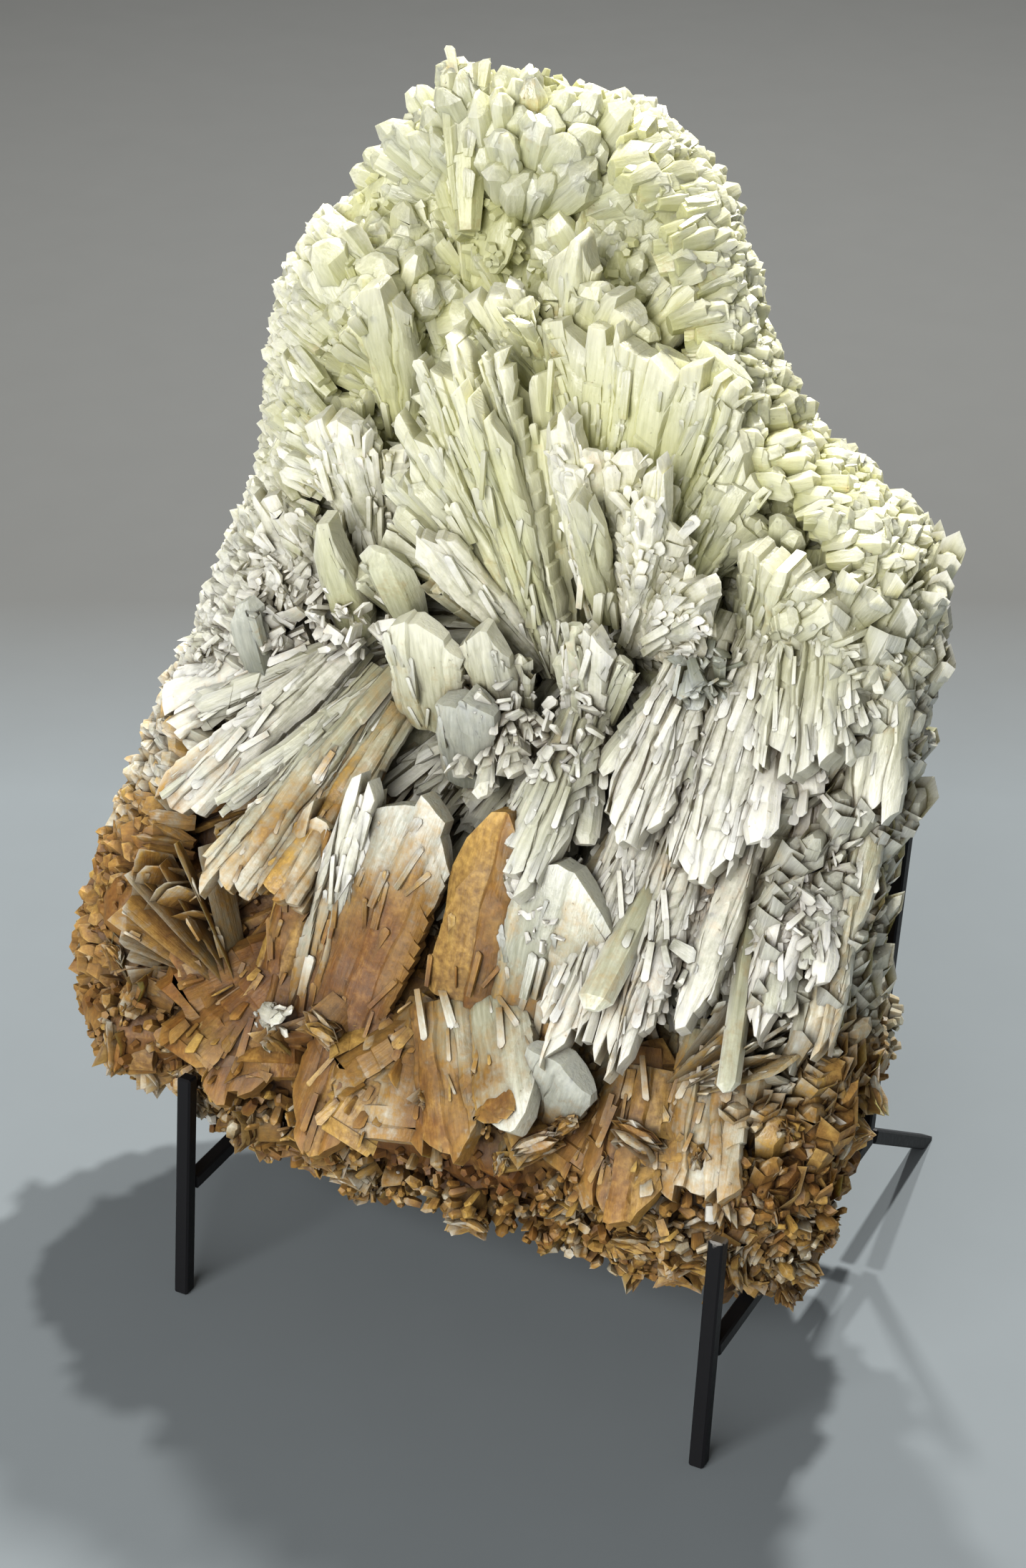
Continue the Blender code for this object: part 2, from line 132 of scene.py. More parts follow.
def section_at(height):
    """Section of the outline at any height, between the listed ones."""
    height = min(max(height, SECTIONS[0].height), SECTIONS[-1].height)
    for low, high in zip(SECTIONS, SECTIONS[1:]):
        if height <= high.height:
            share = (height - low.height) / (high.height - low.height)
            return Section(*(a + (b - a) * share for a, b in zip(low, high)))
    return SECTIONS[-1]


def outline_point(height, angle, inset=0.0):
    """Point on the outline, or inside it; angle 0 is the right side, 90 degrees the back."""
    section = section_at(height)
    half_x = max((section.right - section.left) / 2 - inset, 2.0)
    half_y = max((section.back - section.front) / 2 - inset, 2.0)
    power = 2 / outline_power(height)
    across = copysign(abs(cos(angle)) ** power, cos(angle))
    depth = copysign(abs(sin(angle)) ** power, sin(angle))
    x = (section.left + section.right) / 2 + half_x * across * (1 - BACK_TAPER * depth)
    y = (section.front + section.back) / 2 + half_y * depth
    return Vector((x, y, height))


def face_point(x, z, out):
    """Point of the front face at x and z, standing out of it by a length, inward if negative."""
    section = section_at(z)
    power = outline_power(z)
    half_x = (section.right - section.left) / 2 * (1 + BACK_TAPER)
    share = min(abs(x - (section.left + section.right) / 2) / half_x, FACE_LIMIT)
    half_y = (section.back - section.front) / 2
    y = (section.front + section.back) / 2 - half_y * (1 - share ** power) ** (1 / power)
    return Vector((x, y - out, z))


def way_out(point):
    """Level way out of the cluster at a point of its outline."""
    return Vector((point.x - MIDDLE_X, point.y - MIDDLE_Y, 0)).normalized()


print("sections:", len(SECTIONS), "widest, mm:", max(s.right - s.left for s in SECTIONS))

# %% [markdown]
# Rust is where water stood: the stain fades upwards, higher at the left edge than at the right,
# with a wavy border. It is worked out from the place of each crystal, and stored with it, so the
# material can use it on any piece.

# %% Where the stain lies
STAIN_EDGE = ((-130, 148), (-100, 142), (-70, 138), (-45, 134), (-20, 126), (5, 112), (30, 108),
              (60, 104), (90, 112))
STAIN_SOFT = 58.0
STAIN_WAVE = 20.0


def stain_height(x):
    """Height at which the rust fades out above a spot across the cluster."""
    xs, zs = zip(*STAIN_EDGE)
    return float(np.interp(x, xs, zs))


def stain_at(point):
    """0 for clean barite to 1 for fully rusty, by place."""
    wave = noise.noise(point / 22.0) * STAIN_WAVE + noise.noise(point / 7.0) * STAIN_WAVE * 0.5
    edge = stain_height(point.x) + wave
    return 1 - smooth(edge - STAIN_SOFT, edge + STAIN_SOFT * 0.35, point.z)


print("stain height at the left, middle and right:", [stain_height(x) for x in (-110, 0, 80)])

# %% [markdown]
# Between the fans are deep dark gaps. Each is listed with its place on the face and its half
# width and half height. The rock sinks in there, and the filling stays out. Everywhere else the
# rock's skin is rough, by noise of three sizes on top of each other.

# %% Gaps in the face and roughness of the rock
Pit = namedtuple("Pit", "x z half_width half_height")
PITS = tuple(Pit(*row) for row in (
    (27, 186, 5, 9), (20, 150, 5, 12), (-4, 210, 4, 24), (-46, 264, 9, 10), (49, 198, 6, 6),
    (-42, 150, 8, 8), (-52, 196, 8, 12), (-18, 186, 6, 8), (-92, 102, 14, 8), (-66, 98, 12, 6),
    (46, 92, 5, 8), (-8, 96, 6, 8), (62, 118, 5, 14), (36, 104, 4, 10), (-76, 126, 9, 7),
    (-56, 128, 5, 9), (-88, 112, 10, 6), (-20, 120, 4, 12), (-42, 118, 4, 12), (66, 90, 8, 6),
    (-30, 212, 5, 10), (8, 222, 4, 18), (-4, 256, 5, 12), (-28, 250, 5, 10)))
PIT_DEPTH = 12.0
ROUGHNESS = ((26.0, 4.0), (9.0, 2.4), (3.6, 1.3))


def pit_at(x, z):
    """0 outside the gaps of the face to 1 at the middle of one."""
    far = min(((x - p.x) / p.half_width) ** 2 + ((z - p.z) / p.half_height) ** 2 for p in PITS)
    return 1 - smooth(0.3, 1.6, far)


def rough(point, scale=1.0):
    """Height of the rock's skin over its smooth form at a point."""
    return sum(noise.noise(point / size + Vector((size, 0, 0))) * height * scale
               for size, height in ROUGHNESS)


print("gaps:", len(PITS), "sizes of roughness:", [size for size, _ in ROUGHNESS])

# %% [markdown]
# The real crystals are tablets: long, flat, and ending in a chisel or a blunt cut. The larger
# ones have saw edges, because each is a stack of scales. A few small templates hold these forms
# as an outline and a stack of rings. Frond, slab, leaf and fin have teeth, a lath is plain, a
# knob and a rounder bud end blunt, and a chip is the smallest.

# %% Crystal templates
Template = namedtuple("Template", "outline rings widths teeth bend")
LENS = ((0.5, 0.0), (0.24, 0.5), (-0.24, 0.5), (-0.5, 0.0), (-0.24, -0.5), (0.24, -0.5))
PRISM = ((0.5, 0.0), (0.2, 0.5), (-0.38, 0.36), (-0.42, -0.3), (0.16, -0.5))
ROUND = ((0.5, 0.05), (0.3, 0.42), (-0.08, 0.5), (-0.42, 0.28), (-0.48, -0.14), (-0.16, -0.48),
         (0.3, -0.36))
SQUARE = ((0.5, 0.36), (-0.44, 0.5), (-0.5, -0.36), (0.44, -0.5))


def saw_edged(teeth, depth, bend):
    """Template of a lens-shaped blade with a number of teeth along its edges."""
    tops = [0.1 + 0.8 * (k + 1) / teeth for k in range(teeth)]
    rings = (0.0, *(share for top in tops for share in (top - 0.012, top)), 1.0)
    widths = tuple(min(share / 0.85, 1.0) ** 0.6 for share in rings)
    return Template(LENS, rings, widths, depth, bend)


TEMPLATES = {
    "frond": saw_edged(9, 0.20, 0.04),
    "slab": saw_edged(6, 0.09, 0.02),
    "leaf": saw_edged(5, 0.24, 0.05),
    "fin": saw_edged(2, 0.26, 0.12),
    "lath": Template(LENS, (0, 0.5, 0.93, 1), (0, 1, 1, 1), 0.0, 0.03),
    "knob": Template(PRISM, (0, 0.5, 0.75, 0.9, 1), (0, 1, 1, 0.84, 1), 0.0, 0.0),
    "bud": Template(ROUND, (0, 0.5, 0.8, 0.93, 1), (0, 1, 0.95, 0.72, 1), 0.0, 0.0),
    "chip": Template(SQUARE, (0, 0.8, 1), (0, 1, 1), 0.0, 0.0),
}
print("rings of each template:", {name: len(form.rings) for name, form in TEMPLATES.items()})

# %% [markdown]
# Thousands of crystals would be slow as separate objects. So each one is a row of numbers, and
# its template is stamped along all rows at once with numpy, ring by ring. Bites between the
# teeth, a drift to the side and a bend are each crystal's own. The last two rings make its end,
# a chisel or a blunt cut with a slant.

# %% One ring of many crystals
Tint = namedtuple("Tint", "grey green frost")
END_THIN = 0.62
DEEPEST_BITE = 1.2
DRIFT = 0.06
UNEVEN_TEETH = 0.3
TOOTH_SPACING = 1.6
END_ROOM = 0.45


def ring_corners(template, number, sizes, luck, dice):
    """Corners of one ring of all crystals, across, deep and along each of them."""
    width, thick, length, root, end = sizes
    flat, rise = np.array(template.outline).T
    share = template.rings[number]
    last = len(template.rings) - 1
    wide = end if number == last else root + (1 - root) * template.widths[number]
    deep = wide * END_THIN if number == last else wide
    toothed = template.teeth * (0 < number < last)
    bite = toothed * (number % 2 == 0) * dice.uniform(0.0, DEEPEST_BITE, (len(width), 2)) ** 1.5
    tooth = 1 - np.where(flat < 0, bite[:, :1], bite[:, 1:])
    drift = dice.uniform(-DRIFT, DRIFT, (2, len(width), 1)) * (number > 0)
    x = (flat * wide * tooth + drift[0]) * width
    y = (rise * deep * (1 - bite.mean(1, keepdims=True) * 0.6) + drift[1]) * thick
    y = y + luck["bend"] * share * share * length
    if number % 2:
        luck["step"] = dice.uniform(-UNEVEN_TEETH, UNEVEN_TEETH, (len(width), 2))
    uneven = np.where(flat < 0, luck["step"][:, :1], luck["step"][:, 1:])
    spacing = TOOTH_SPACING / max(last - 1, 2) * (toothed > 0)
    z = (share + (uneven + luck["chevron"] * np.abs(flat)) * spacing) * length
    if number >= last - 1:
        room = np.minimum(width * END_ROOM * (1 - end * 0.6), length * 0.3)
        room = np.minimum(room, length * (1 - template.rings[-3]) * 0.8)
        z = length - room * (last - number) + luck["slant"] * x * (1 if number == last else 0.6)
    return x, y, z


print("rings with teeth:", {name: len(form.rings) - 2 for name, form in TEMPLATES.items()
                            if form.teeth})

# %% [markdown]
# Every crystal carries how far along it a corner lies, its own random tone, how rusty, grey,
# green or frosted it is, where its grain runs, and how near its edge a corner is. They are
# stored as attributes, so one material can finish all crystals.

# %% Crystals stamped along their rows
MIDDLE_RIM = 0.3
GRAIN_SHIFT = 40


def ring_quads(rings, corners):
    """Quads between the rings of a stack, each ring with the same number of corners."""
    return [(low + i, low + (i + 1) % corners, low + corners + (i + 1) % corners, low + corners + i)
            for low in range(0, (rings - 1) * corners, corners) for i in range(corners)]


def crystal_faces(rings, corners):
    """Faces of one crystal: quads between its rings, and a face at each end."""
    last = (rings - 1) * corners
    return [*ring_quads(rings, corners), tuple(reversed(range(corners))),
            tuple(range(last, last + corners))]


def stamp(rows, template, dice):
    """Corners, face loops and attributes of all crystals of one template."""
    data = np.array(rows, dtype=np.float64)
    count = len(data)
    base, tip, side = data[:, 0:3], data[:, 3:6], data[:, 6:9]
    width, thick, root, end, rust = data[:, 9:14].T[..., None]
    axis = tip - base
    length = np.linalg.norm(axis, axis=1, keepdims=True)
    up = axis / length
    side = side - up * (side * up).sum(1, keepdims=True)
    side /= np.maximum(np.linalg.norm(side, axis=1, keepdims=True), 1e-6)
    depth = np.cross(up, side)
    draw = dice.uniform
    luck = {"slant": draw(-0.5, 0.5, (count, 1)), "chevron": draw(0.2, 1.2, (count, 1)),
            "bend": draw(-1, 1, (count, 1)) * template.bend, "step": np.zeros((count, 2))}
    tone = dice.random((count, 1))
    rings, corners = len(template.rings), len(template.outline)
    rim = np.clip(np.abs(np.array(template.outline)[:, 0]) * 4 - 1 + MIDDLE_RIM, MIDDLE_RIM, 1)
    points, grain, edge = [], [], []
    for number in range(rings):
        x, y, z = ring_corners(template, number, (width, thick, length, root, end), luck, dice)
        points.append(base[:, None] + side[:, None] * x[..., None]
                      + depth[:, None] * y[..., None] + up[:, None] * z[..., None])
        grain.append(np.stack([x, y + tone * GRAIN_SHIFT, np.broadcast_to(z, x.shape)], -1))
        if number % 2 == 0:
            scale_tone = dice.random((count, 1))
        # The rim is highest at a crystal's edges and at the top ring of each scale. The finish
        # paints it lighter and cleaner: partly frost, partly painted glow.
        lit = np.broadcast_to(rim * (1.0 if number % 2 else 0.7), x.shape)
        edge.append(np.stack([lit, np.broadcast_to(scale_tone, x.shape), lit * 0], -1))
    points, grain, edge = (np.stack(part, 1).reshape(-1, 3) for part in (points, grain, edge))
    per = rings * corners
    along = np.tile(np.repeat(np.array(template.rings), corners), count)
    growth = np.stack([along, np.repeat(tone[:, 0], per), np.repeat(rust[:, 0], per)], -1)
    tint = np.repeat(data[:, 14:17], per, 0)
    faces = crystal_faces(rings, corners)
    loops = np.concatenate([np.array(f) for f in faces])
    sizes = np.array([len(f) for f in faces])
    shift = (np.arange(count) * per)[:, None]
    return (points, (loops[None] + shift).ravel(), np.tile(sizes, count),
            {"growth": growth, "tint": tint, "grain": grain, "edge": edge})


print("faces of a bud:", len(crystal_faces(len(TEMPLATES["bud"].rings), len(ROUND))))

# %% [markdown]
# A growth gathers the crystals and fused slabs of one piece. A crystal runs from its base to
# its tip, with a side that its width follows, a width, a thickness, the share of its width at
# the root and at the end, its stain, its tint and its template.

# %% Growth of one piece
class Growth:
    """Crystals of one piece, gathered as rows of numbers."""

    def __init__(self, name, seed):
        self.name = name
        self.random = np.random.default_rng(seed)
        self.rows = {kind: [] for kind in TEMPLATES}
        self.slabs = []

    def add(self, base, tip, side, width, thick, root, end, stain, tint, kind):
        """One crystal; if its stain is None, it takes the one of its place."""
        rust = stain_at((base + tip) / 2) if stain is None else stain
        self.rows[kind].append((*base, *tip, *side, width, thick, root, end, rust, *tint))

    def build(self):
        """All crystals in one mesh object, in place."""
        stamped = [stamp(rows, TEMPLATES[kind], self.random)
                   for kind, rows in self.rows.items() if rows]
        stamped += self.slabs
        points = np.concatenate([s[0] for s in stamped])
        starts = np.cumsum([0] + [len(s[0]) for s in stamped[:-1]])
        loops = np.concatenate([s[1] + start for s, start in zip(stamped, starts)])
        sizes = np.concatenate([s[2] for s in stamped])
        made = mesh_object(self.name, points, loops, sizes)
        for name in stamped[0][3]:
            store(made, name, np.concatenate([s[3][name] for s in stamped]))
        counts = ", ".join(f"{len(rows)} {kind}" for kind, rows in self.rows.items() if rows)
        print(self.name, counts, len(self.slabs), "slabs", triangles(made), "triangles")
        return made

# %% [markdown]
# Every piece becomes a mesh in the same way. Its points go from the stand's millimetres to the
# world's metres, so its object can stay at the origin. Edges between two faces that meet at
# more than 32 degrees stay sharp, and flatter ones are shaded smooth.

# %% Mesh objects
SOFT_EDGE = radians(32)


def add_object(name, data):
    """Object with given data, in the scene."""
    made = bpy.data.objects.new(name, data)
    bpy.context.scene.collection.objects.link(made)
    return made


def mesh_object(name, points, loops, sizes):
    """Mesh object from points in the stand's millimetres and faces given as loops."""
    points = keep_off_stand(np.asarray(points))
    mesh = bpy.data.meshes.new(name)
    mesh.vertices.add(len(points))
    mesh.vertices.foreach_set("co", ((points + np.array(ORIGIN)) * MM).ravel())
    mesh.loops.add(len(loops))
    mesh.loops.foreach_set("vertex_index", loops.astype(np.int32))
    mesh.polygons.add(len(sizes))
    mesh.polygons.foreach_set("loop_start", (np.cumsum(sizes) - sizes).astype(np.int32))
    mesh.update(calc_edges=True)
    mesh.validate()
    mesh.shade_smooth()
    mesh.set_sharp_from_angle(angle=SOFT_EDGE)
    return add_object(name, mesh)


def store(piece, name, values):
    """Vector attribute on every corner point of a piece."""
    made = piece.data.attributes.new(name, "FLOAT_VECTOR", "POINT")
    made.data.foreach_set("vector", np.asarray(values, dtype=np.float32).ravel())


def triangles(piece):
    """Number of triangles of a piece."""
    piece.data.calc_loop_triangles()
    return len(piece.data.loop_triangles)


print("edges stay sharp over", round(SOFT_EDGE * 180 / pi), "degrees")

# %% [markdown]
# The cluster rests on the rails and leans on the uprights, and a post stands in front of it. A
# real crystal ends where the steel is. So any corner of a crystal, the rock or a lump that comes
# too near to a bar is pushed out to the bar's surface. Only corners are moved: a face between
# two of them can still cross a bar, and the sugar, which is made later, is not pushed.

# %% Room for the bars of the stand
BAR_ROOM = 3.4


def on_post(height, side):
    """Centre of a front post at a height."""
    return Vector((side * STAND_WIDTH / 2, height * tan(POST_LEAN), height))


def on_upright(height, side):
    """Centre of a rear upright at a height."""
    depth = REAR_JOINT_DEPTH + (height - RAIL_HEIGHT) * tan(UPRIGHT_LEAN)
    return Vector((side * STAND_WIDTH / 2, depth, height))


def bar_lines():
    """Start and end of every bar's centre line."""
    lines = []
    for side in (-1, 1):
        x = side * STAND_WIDTH / 2
        lines.append((on_post(0, side), on_post(POST_TOP, side)))
        lines.append((on_post(RAIL_HEIGHT, side), Vector((x, REAR_JOINT_DEPTH, RAIL_HEIGHT))))
        lines.append((on_upright(RAIL_HEIGHT, side), on_upright(UPRIGHT_TOP, side)))
        lines.append((Vector((x, REAR_FOOT_DEPTH, 0)), Vector((x, REAR_JOINT_DEPTH, RAIL_HEIGHT))))
    lines.append([Vector((side * STAND_WIDTH / 2, REAR_JOINT_DEPTH - BAR / 2, RAIL_HEIGHT))
                  for side in (-1, 1)])
    lines.append((on_upright(UPPER_CROSSBAR_HEIGHT, -1), on_upright(UPPER_CROSSBAR_HEIGHT, 1)))
    return lines


def keep_off_stand(points):
    """The same points, with those inside a bar's room pushed to its surface."""
    for start, end in bar_lines():
        start, end = np.array(start), np.array(end)
        axis = end - start
        share = np.clip((points - start) @ axis / (axis @ axis), 0, 1)
        away = points - (start + share[:, None] * axis)
        far = np.linalg.norm(away, axis=1)
        near = far < BAR_ROOM
        push = away[near] / np.maximum(far[near], 0.05)[:, None]
        points[near] += push * (BAR_ROOM - far[near])[:, None]
    return points


print("bars to keep clear of:", len(bar_lines()))

# %% [markdown]
# A blade of the real cluster is not one smooth crystal. It is a slab of laths grown side by
# side, shingled all over with thin scales that lean outwards towards its edges, like a feather
# or a pine cone, so its outline is a saw edge and its end is stepped.
#
# A Look says how much of each a blade has, and the fans below pick one: the main crystal's
# template, its width at the root, how far its parts stop short, how many ribs, how many scales
# on a square centimetre and how long, how slim both are, how far scales lean and lift, how
# blunt the ends are, how far the blade is turned, and its tint.

# %% Looks of a blade
Look = namedtuple("Look", "kind root steps ribs scales scale slim lean lift end turn tint")
LOOKS = {
    "blunt": Look("leaf", 0.5, 0.08, 2, 1.6, 6.0, 1.0, 0.25, 0.12, 0.72, 0, Tint(0, 0.25, 0.1)),
    "flat": Look("slab", 0.5, 0.04, 2, 0.6, 6.0, 1.2, 0.16, 0.05, 0.92, 0, Tint(0, 0.7, 0.0)),
    "feather": Look("frond", 0.45, 0.14, 2, 4.0, 6.0, 0.9, 0.6, 0.3, 0.60, 0, Tint(0, 0.0, 0.75)),
    "blade": Look("slab", 0.45, 0.10, 1, 1.0, 6.0, 1.0, 0.3, 0.10, 0.74, 0, Tint(0, 0.2, 0.12)),
    "spear": Look("leaf", 0.6, 0.08, 1, 0.9, 4.0, 1.0, 0.24, 0.08, 0.25, 0, Tint(0, 0.3, 0.1)),
    "fibre": Look("leaf", 0.6, 0.25, 3, 2.6, 7.0, 0.7, 0.4, 0.35, 0.55, 0, Tint(0, 0.05, 0.5)),
    "column": Look("slab", 0.7, 0.14, 2, 1.4, 6.0, 0.9, 0.3, 0.2, 0.70, 0, Tint(0.1, 0.25, 0.4)),
    "long": Look("slab", 0.75, 0.08, 3, 0.8, 7.0, 0.6, 0.1, 0.05, 0.84, 0, Tint(0, 0.2, 0.3)),
    "plate": Look("slab", 0.92, 0.04, 2, 4.0, 1.7, 1.6, 0.3, 0.03, 0.34, 0, Tint(0, 0.15, 0.05)),
    "thin": Look("lath", 0.8, 0.12, 0, 0.5, 5.0, 1.0, 0.18, 0.05, 0.88, 75, Tint(0, 0.0, 0.1)),
    "block": Look("knob", 0.8, 0.08, 1, 0.5, 3.0, 1.0, 0.2, 0.06, 0.60, 0, Tint(0.4, 0.0, 0.2)),
    "clear": Look("lath", 0.7, 0.05, 0, 0.3, 4.0, 1.0, 0.20, 0.06, 0.40, 0, Tint(0.1, 0.4, 0.1)),
    "flake": Look("slab", 0.6, 0.16, 1, 1.6, 6.0, 1.3, 0.4, 0.22, 0.78, 0, Tint(0, 0.0, 0.0)),
}
print("looks a blade can have:", ", ".join(LOOKS))

# %% [markdown]
# One function covers a blade with scales: some on its faces, some along its edges, all
# leaning outwards. Another builds the whole blade from a main crystal, narrower ribs pressed on
# its face, and the scales. Both draw their luck from the generator of their fan.

# %% Blades made of ribs and scales
HIDDEN_SHARE = 0.25
SCALE_WIDTH = (0.30, 0.55)
SCALE_THICK = (0.10, 0.20)
EDGE_SHARE = 0.4
LONG_RIB = 40


def add_scales(growth, root, along, length, side, front, width, thick, look, stain, rng):
    """Thin scales all over a blade, leaning outwards towards its edges and its end."""
    for _ in range(round(look.scales * length * width / 100)):
        share = HIDDEN_SHARE + (1 - HIDDEN_SHARE) * rng.random() ** 0.8
        spread = look.root + (1 - look.root) * share
        place = rng.uniform(-0.5, 0.5)
        level = 0.5 - 1.2 * place * place
        if rng.random() < EDGE_SHARE:
            place = rng.choice((-0.5, 0.5))
            level = rng.uniform(-0.45, 0.4)
        size = look.scale * rng.uniform(0.5, 1.3)
        way = along + side * place * 2 * look.lean * rng.uniform(0.4, 1.3)
        way = (way + side * rng.uniform(-0.08, 0.08) + front * look.lift * rng.uniform(-0.2, 1.5))
        way.normalize()
        tip = root + along * min(length * share, length - size * 0.1)
        tip += side * place * width * spread + front * level * thick * 0.95
        flat = way.cross(front).lerp(front * rng.choice((-1, 1)), rng.random() ** 3 * 0.8)
        growth.add(tip - way * size * 0.75, tip + way * size * 0.25, flat,
                   size * rng.uniform(*SCALE_WIDTH) * look.slim,
                   size * rng.uniform(*SCALE_THICK), 0.75,
                   look.end * rng.uniform(0.6, 1.1), stain, look.tint, "chip")


def add_blade(growth, root, tip, out, width, thick, look, rng, stain=None):
    """One blade: a main crystal, narrower ribs pressed on its face, and scales."""
    axis = tip - root
    length = axis.length
    along = axis / length
    side = along.cross(out).normalized()
    front = side.cross(along)
    reach = 1 - look.steps * rng.random()
    growth.add(root, root + along * length * reach, side + front * rng.uniform(-0.15, 0.15),
               width * rng.uniform(0.75, 1.15), thick * rng.uniform(0.75, 0.95), look.root,
               look.end * rng.uniform(0.85, 1.1), stain, look.tint, look.kind)
    for _ in range(look.ribs):
        place = rng.uniform(-0.40, 0.40) * width
        reach = 1 - look.steps * rng.uniform(0.0, 3.0)
        start = rng.uniform(0.1, 0.45)
        lift = front * thick * rng.uniform(0.16, 0.40)
        growth.add(root + along * length * start + side * place * (look.root + start * 0.5)
                   + lift * 0.4, root + along * length * reach + side * place + lift,
                   side + front * rng.uniform(-0.3, 0.3), width * rng.uniform(0.3, 0.6) * look.slim,
                   thick * rng.uniform(0.3, 0.5), look.root, look.end * rng.uniform(0.8, 1.1),
                   stain, look.tint, "leaf" if length > LONG_RIB else "fin")
    add_scales(growth, root, along, length, side, front, width, thick, look, stain, rng)


print("share of the scales that sit along a blade's edges:", EDGE_SHARE)

# %% [markdown]
# The broadest forms are fused slabs: crystals that grew side by side until they closed up, so
# one sees a single fan with ridges, stepped ends and saw edges. Each slab is a grid of points
# with two faces. Its columns belong to crystals of uneven width and height, and its rows come
# in close pairs, where a thin scale ends and the face drops by a step.

# %% Grid of a fused slab
SOFT = Tint(0, 0.2, 0.1)
Slab = namedtuple("Slab", "root_x root_z depth tip_x tip_z out root_width tip_width thick "
                          "crystals point rust tint", defaults=(0, SOFT))
Grid = namedtuple("Grid", "across along near far share u tone scale_tone rim")
COLUMN_SHARES = (0.05, 0.32, 0.68, 0.95)
CALM_FROM = 7
ROW_SPACING = 5.0
PAIR_GAP = 0.14
STEP_CHANCE = 0.24
STEP_SHARE = 0.07
LEAN_CHANCE = 0.4
LEAN_SHARE = 0.05
OFFSET_SHARE = 0.11
RIDGE_SHARE = 0.06
WAVE = 0.9
SWAY = 0.05
SKIN = 0.35
UNEVEN_END = 0.13
EDGE_BITE = 0.16


def slab_rows(length):
    """Shares along a slab, the segment that each row is in, and 0 or 1 for its start or end."""
    pairs = max(round(length / ROW_SPACING), 3)
    rows = [(0.0, 0, 0)]
    for k in range(1, pairs):
        rows += [(k / pairs, k - 1, 1), ((k + PAIR_GAP) / pairs, k, 0)]
    return np.array(rows + [(1.0, pairs - 1, 1)]), pairs


def calmness(slab):
    """How uneven a slab may be: few crystals make a calm one."""
    return min(slab.crystals / CALM_FROM, 1.0) ** 1.5


def slab_columns(slab, luck):
    """Place of each column across a slab, within its crystal, and that crystal's number."""
    borders = np.cumsum(np.concatenate([[0], luck.uniform(0.3, 1.7, slab.crystals)]))
    borders = borders / borders[-1] * 2 - 1
    local = np.tile(np.array(COLUMN_SHARES), slab.crystals)
    crystal = np.repeat(np.arange(slab.crystals), len(COLUMN_SHARES))
    return borders[crystal] + (borders[crystal + 1] - borders[crystal]) * local, local, crystal


def slab_grid(slab, length, luck):
    """Places and looks of all points of a slab, row by row."""
    rows, pairs = slab_rows(length)
    share, segment, ended = rows[:, :1], rows[:, 1].astype(int), rows[:, 2:]
    count, calm = slab.crystals, calmness(slab)
    u, local, crystal = slab_columns(slab, luck)
    end = 1 - slab.point * np.abs(u) ** 1.4 - luck.uniform(0, UNEVEN_END, count)[crystal]
    end = end - luck.uniform(-0.03, 0.03, count)[crystal] * (local * 2 - 1)
    t = share * end + luck.uniform(-0.5, 0.5, count)[crystal] / pairs * share * (1 - share) * 3
    wide = slab.root_width + (slab.tip_width - slab.root_width) * t ** 0.8
    bite = (1 - ended) * luck.uniform(0, EDGE_BITE * calm, (pairs, 2))[segment] * (share > 0)
    bite = np.where(u < 0, bite[:, :1], bite[:, 1:]) * np.clip(np.abs(u) * 2.5 - 1.5, 0, 1)
    x = u * wide / 2 * (1 - bite) + luck.uniform(-0.2, 0.2, t.shape)
    phase = luck.uniform(0, 2 * pi, 6)
    x = x + WAVE * np.sin(t * 5 + u * 2 + phase[0]) * np.sin(t * 11 + u * 5 + phase[1])
    arch = 0.12 + 0.88 * np.sqrt(1 - 0.98 * u * u)
    body = slab.thick * (0.55 + 0.45 * np.sqrt(share)) * (1 - 0.35 * share ** 5)
    every = (pairs, count)
    steps = np.cumsum(luck.uniform(0, STEP_SHARE * calm, every)
                      * (luck.random(every) < STEP_CHANCE), 0)
    lean = luck.uniform(0, LEAN_SHARE * calm, every) * (luck.random(every) < LEAN_CHANCE)
    offset = luck.uniform(-OFFSET_SHARE, OFFSET_SHARE, count)[crystal]
    ridge = RIDGE_SHARE * (1 - (2 * local - 1) ** 2)
    level = offset + ridge - steps[segment][:, crystal] + lean[segment][:, crystal] * ended
    sway = luck.uniform(-SWAY, SWAY) * length * t * t
    skin = (np.sin(x * 1.1 + phase[2]) * np.sin(t * length * 0.45 + x * 0.3 + phase[3])
            + np.sin(x * 0.5 + phase[4]) * np.sin(t * length * 0.2 + phase[5]))
    near = body * (arch * 0.5 + level * arch) + sway + skin * SKIN * arch
    far = -body * arch * 0.5 + sway
    tone = luck.random(count)[crystal] * np.ones_like(t)
    scale_tone = luck.random(every)[segment][:, crystal]
    # The rim is highest at a slab's edges and its end, which the finish paints lighter and cleaner:
    # partly frost, partly painted glow.
    rim = MIDDLE_RIM + (1 - MIDDLE_RIM) * np.maximum(np.abs(u) ** 6, share ** 8)
    return Grid(x, t * length, near, far, 0.2 + 0.8 * t, u, tone, scale_tone, rim)


print("rows of a slab 60 mm long:", len(slab_rows(60)[0]))

# %% [markdown]
# The grid is then set up in space, from the slab's root on the face to its tip. Its front and
# back are joined by quads and closed round the edges. Splinters, thin chips that stand a
# little off the skin, break up the largest faces.

# %% Fused slabs
SPLINTERS = 0.022
FACE_OUT = Vector((0, -1, 0.35))


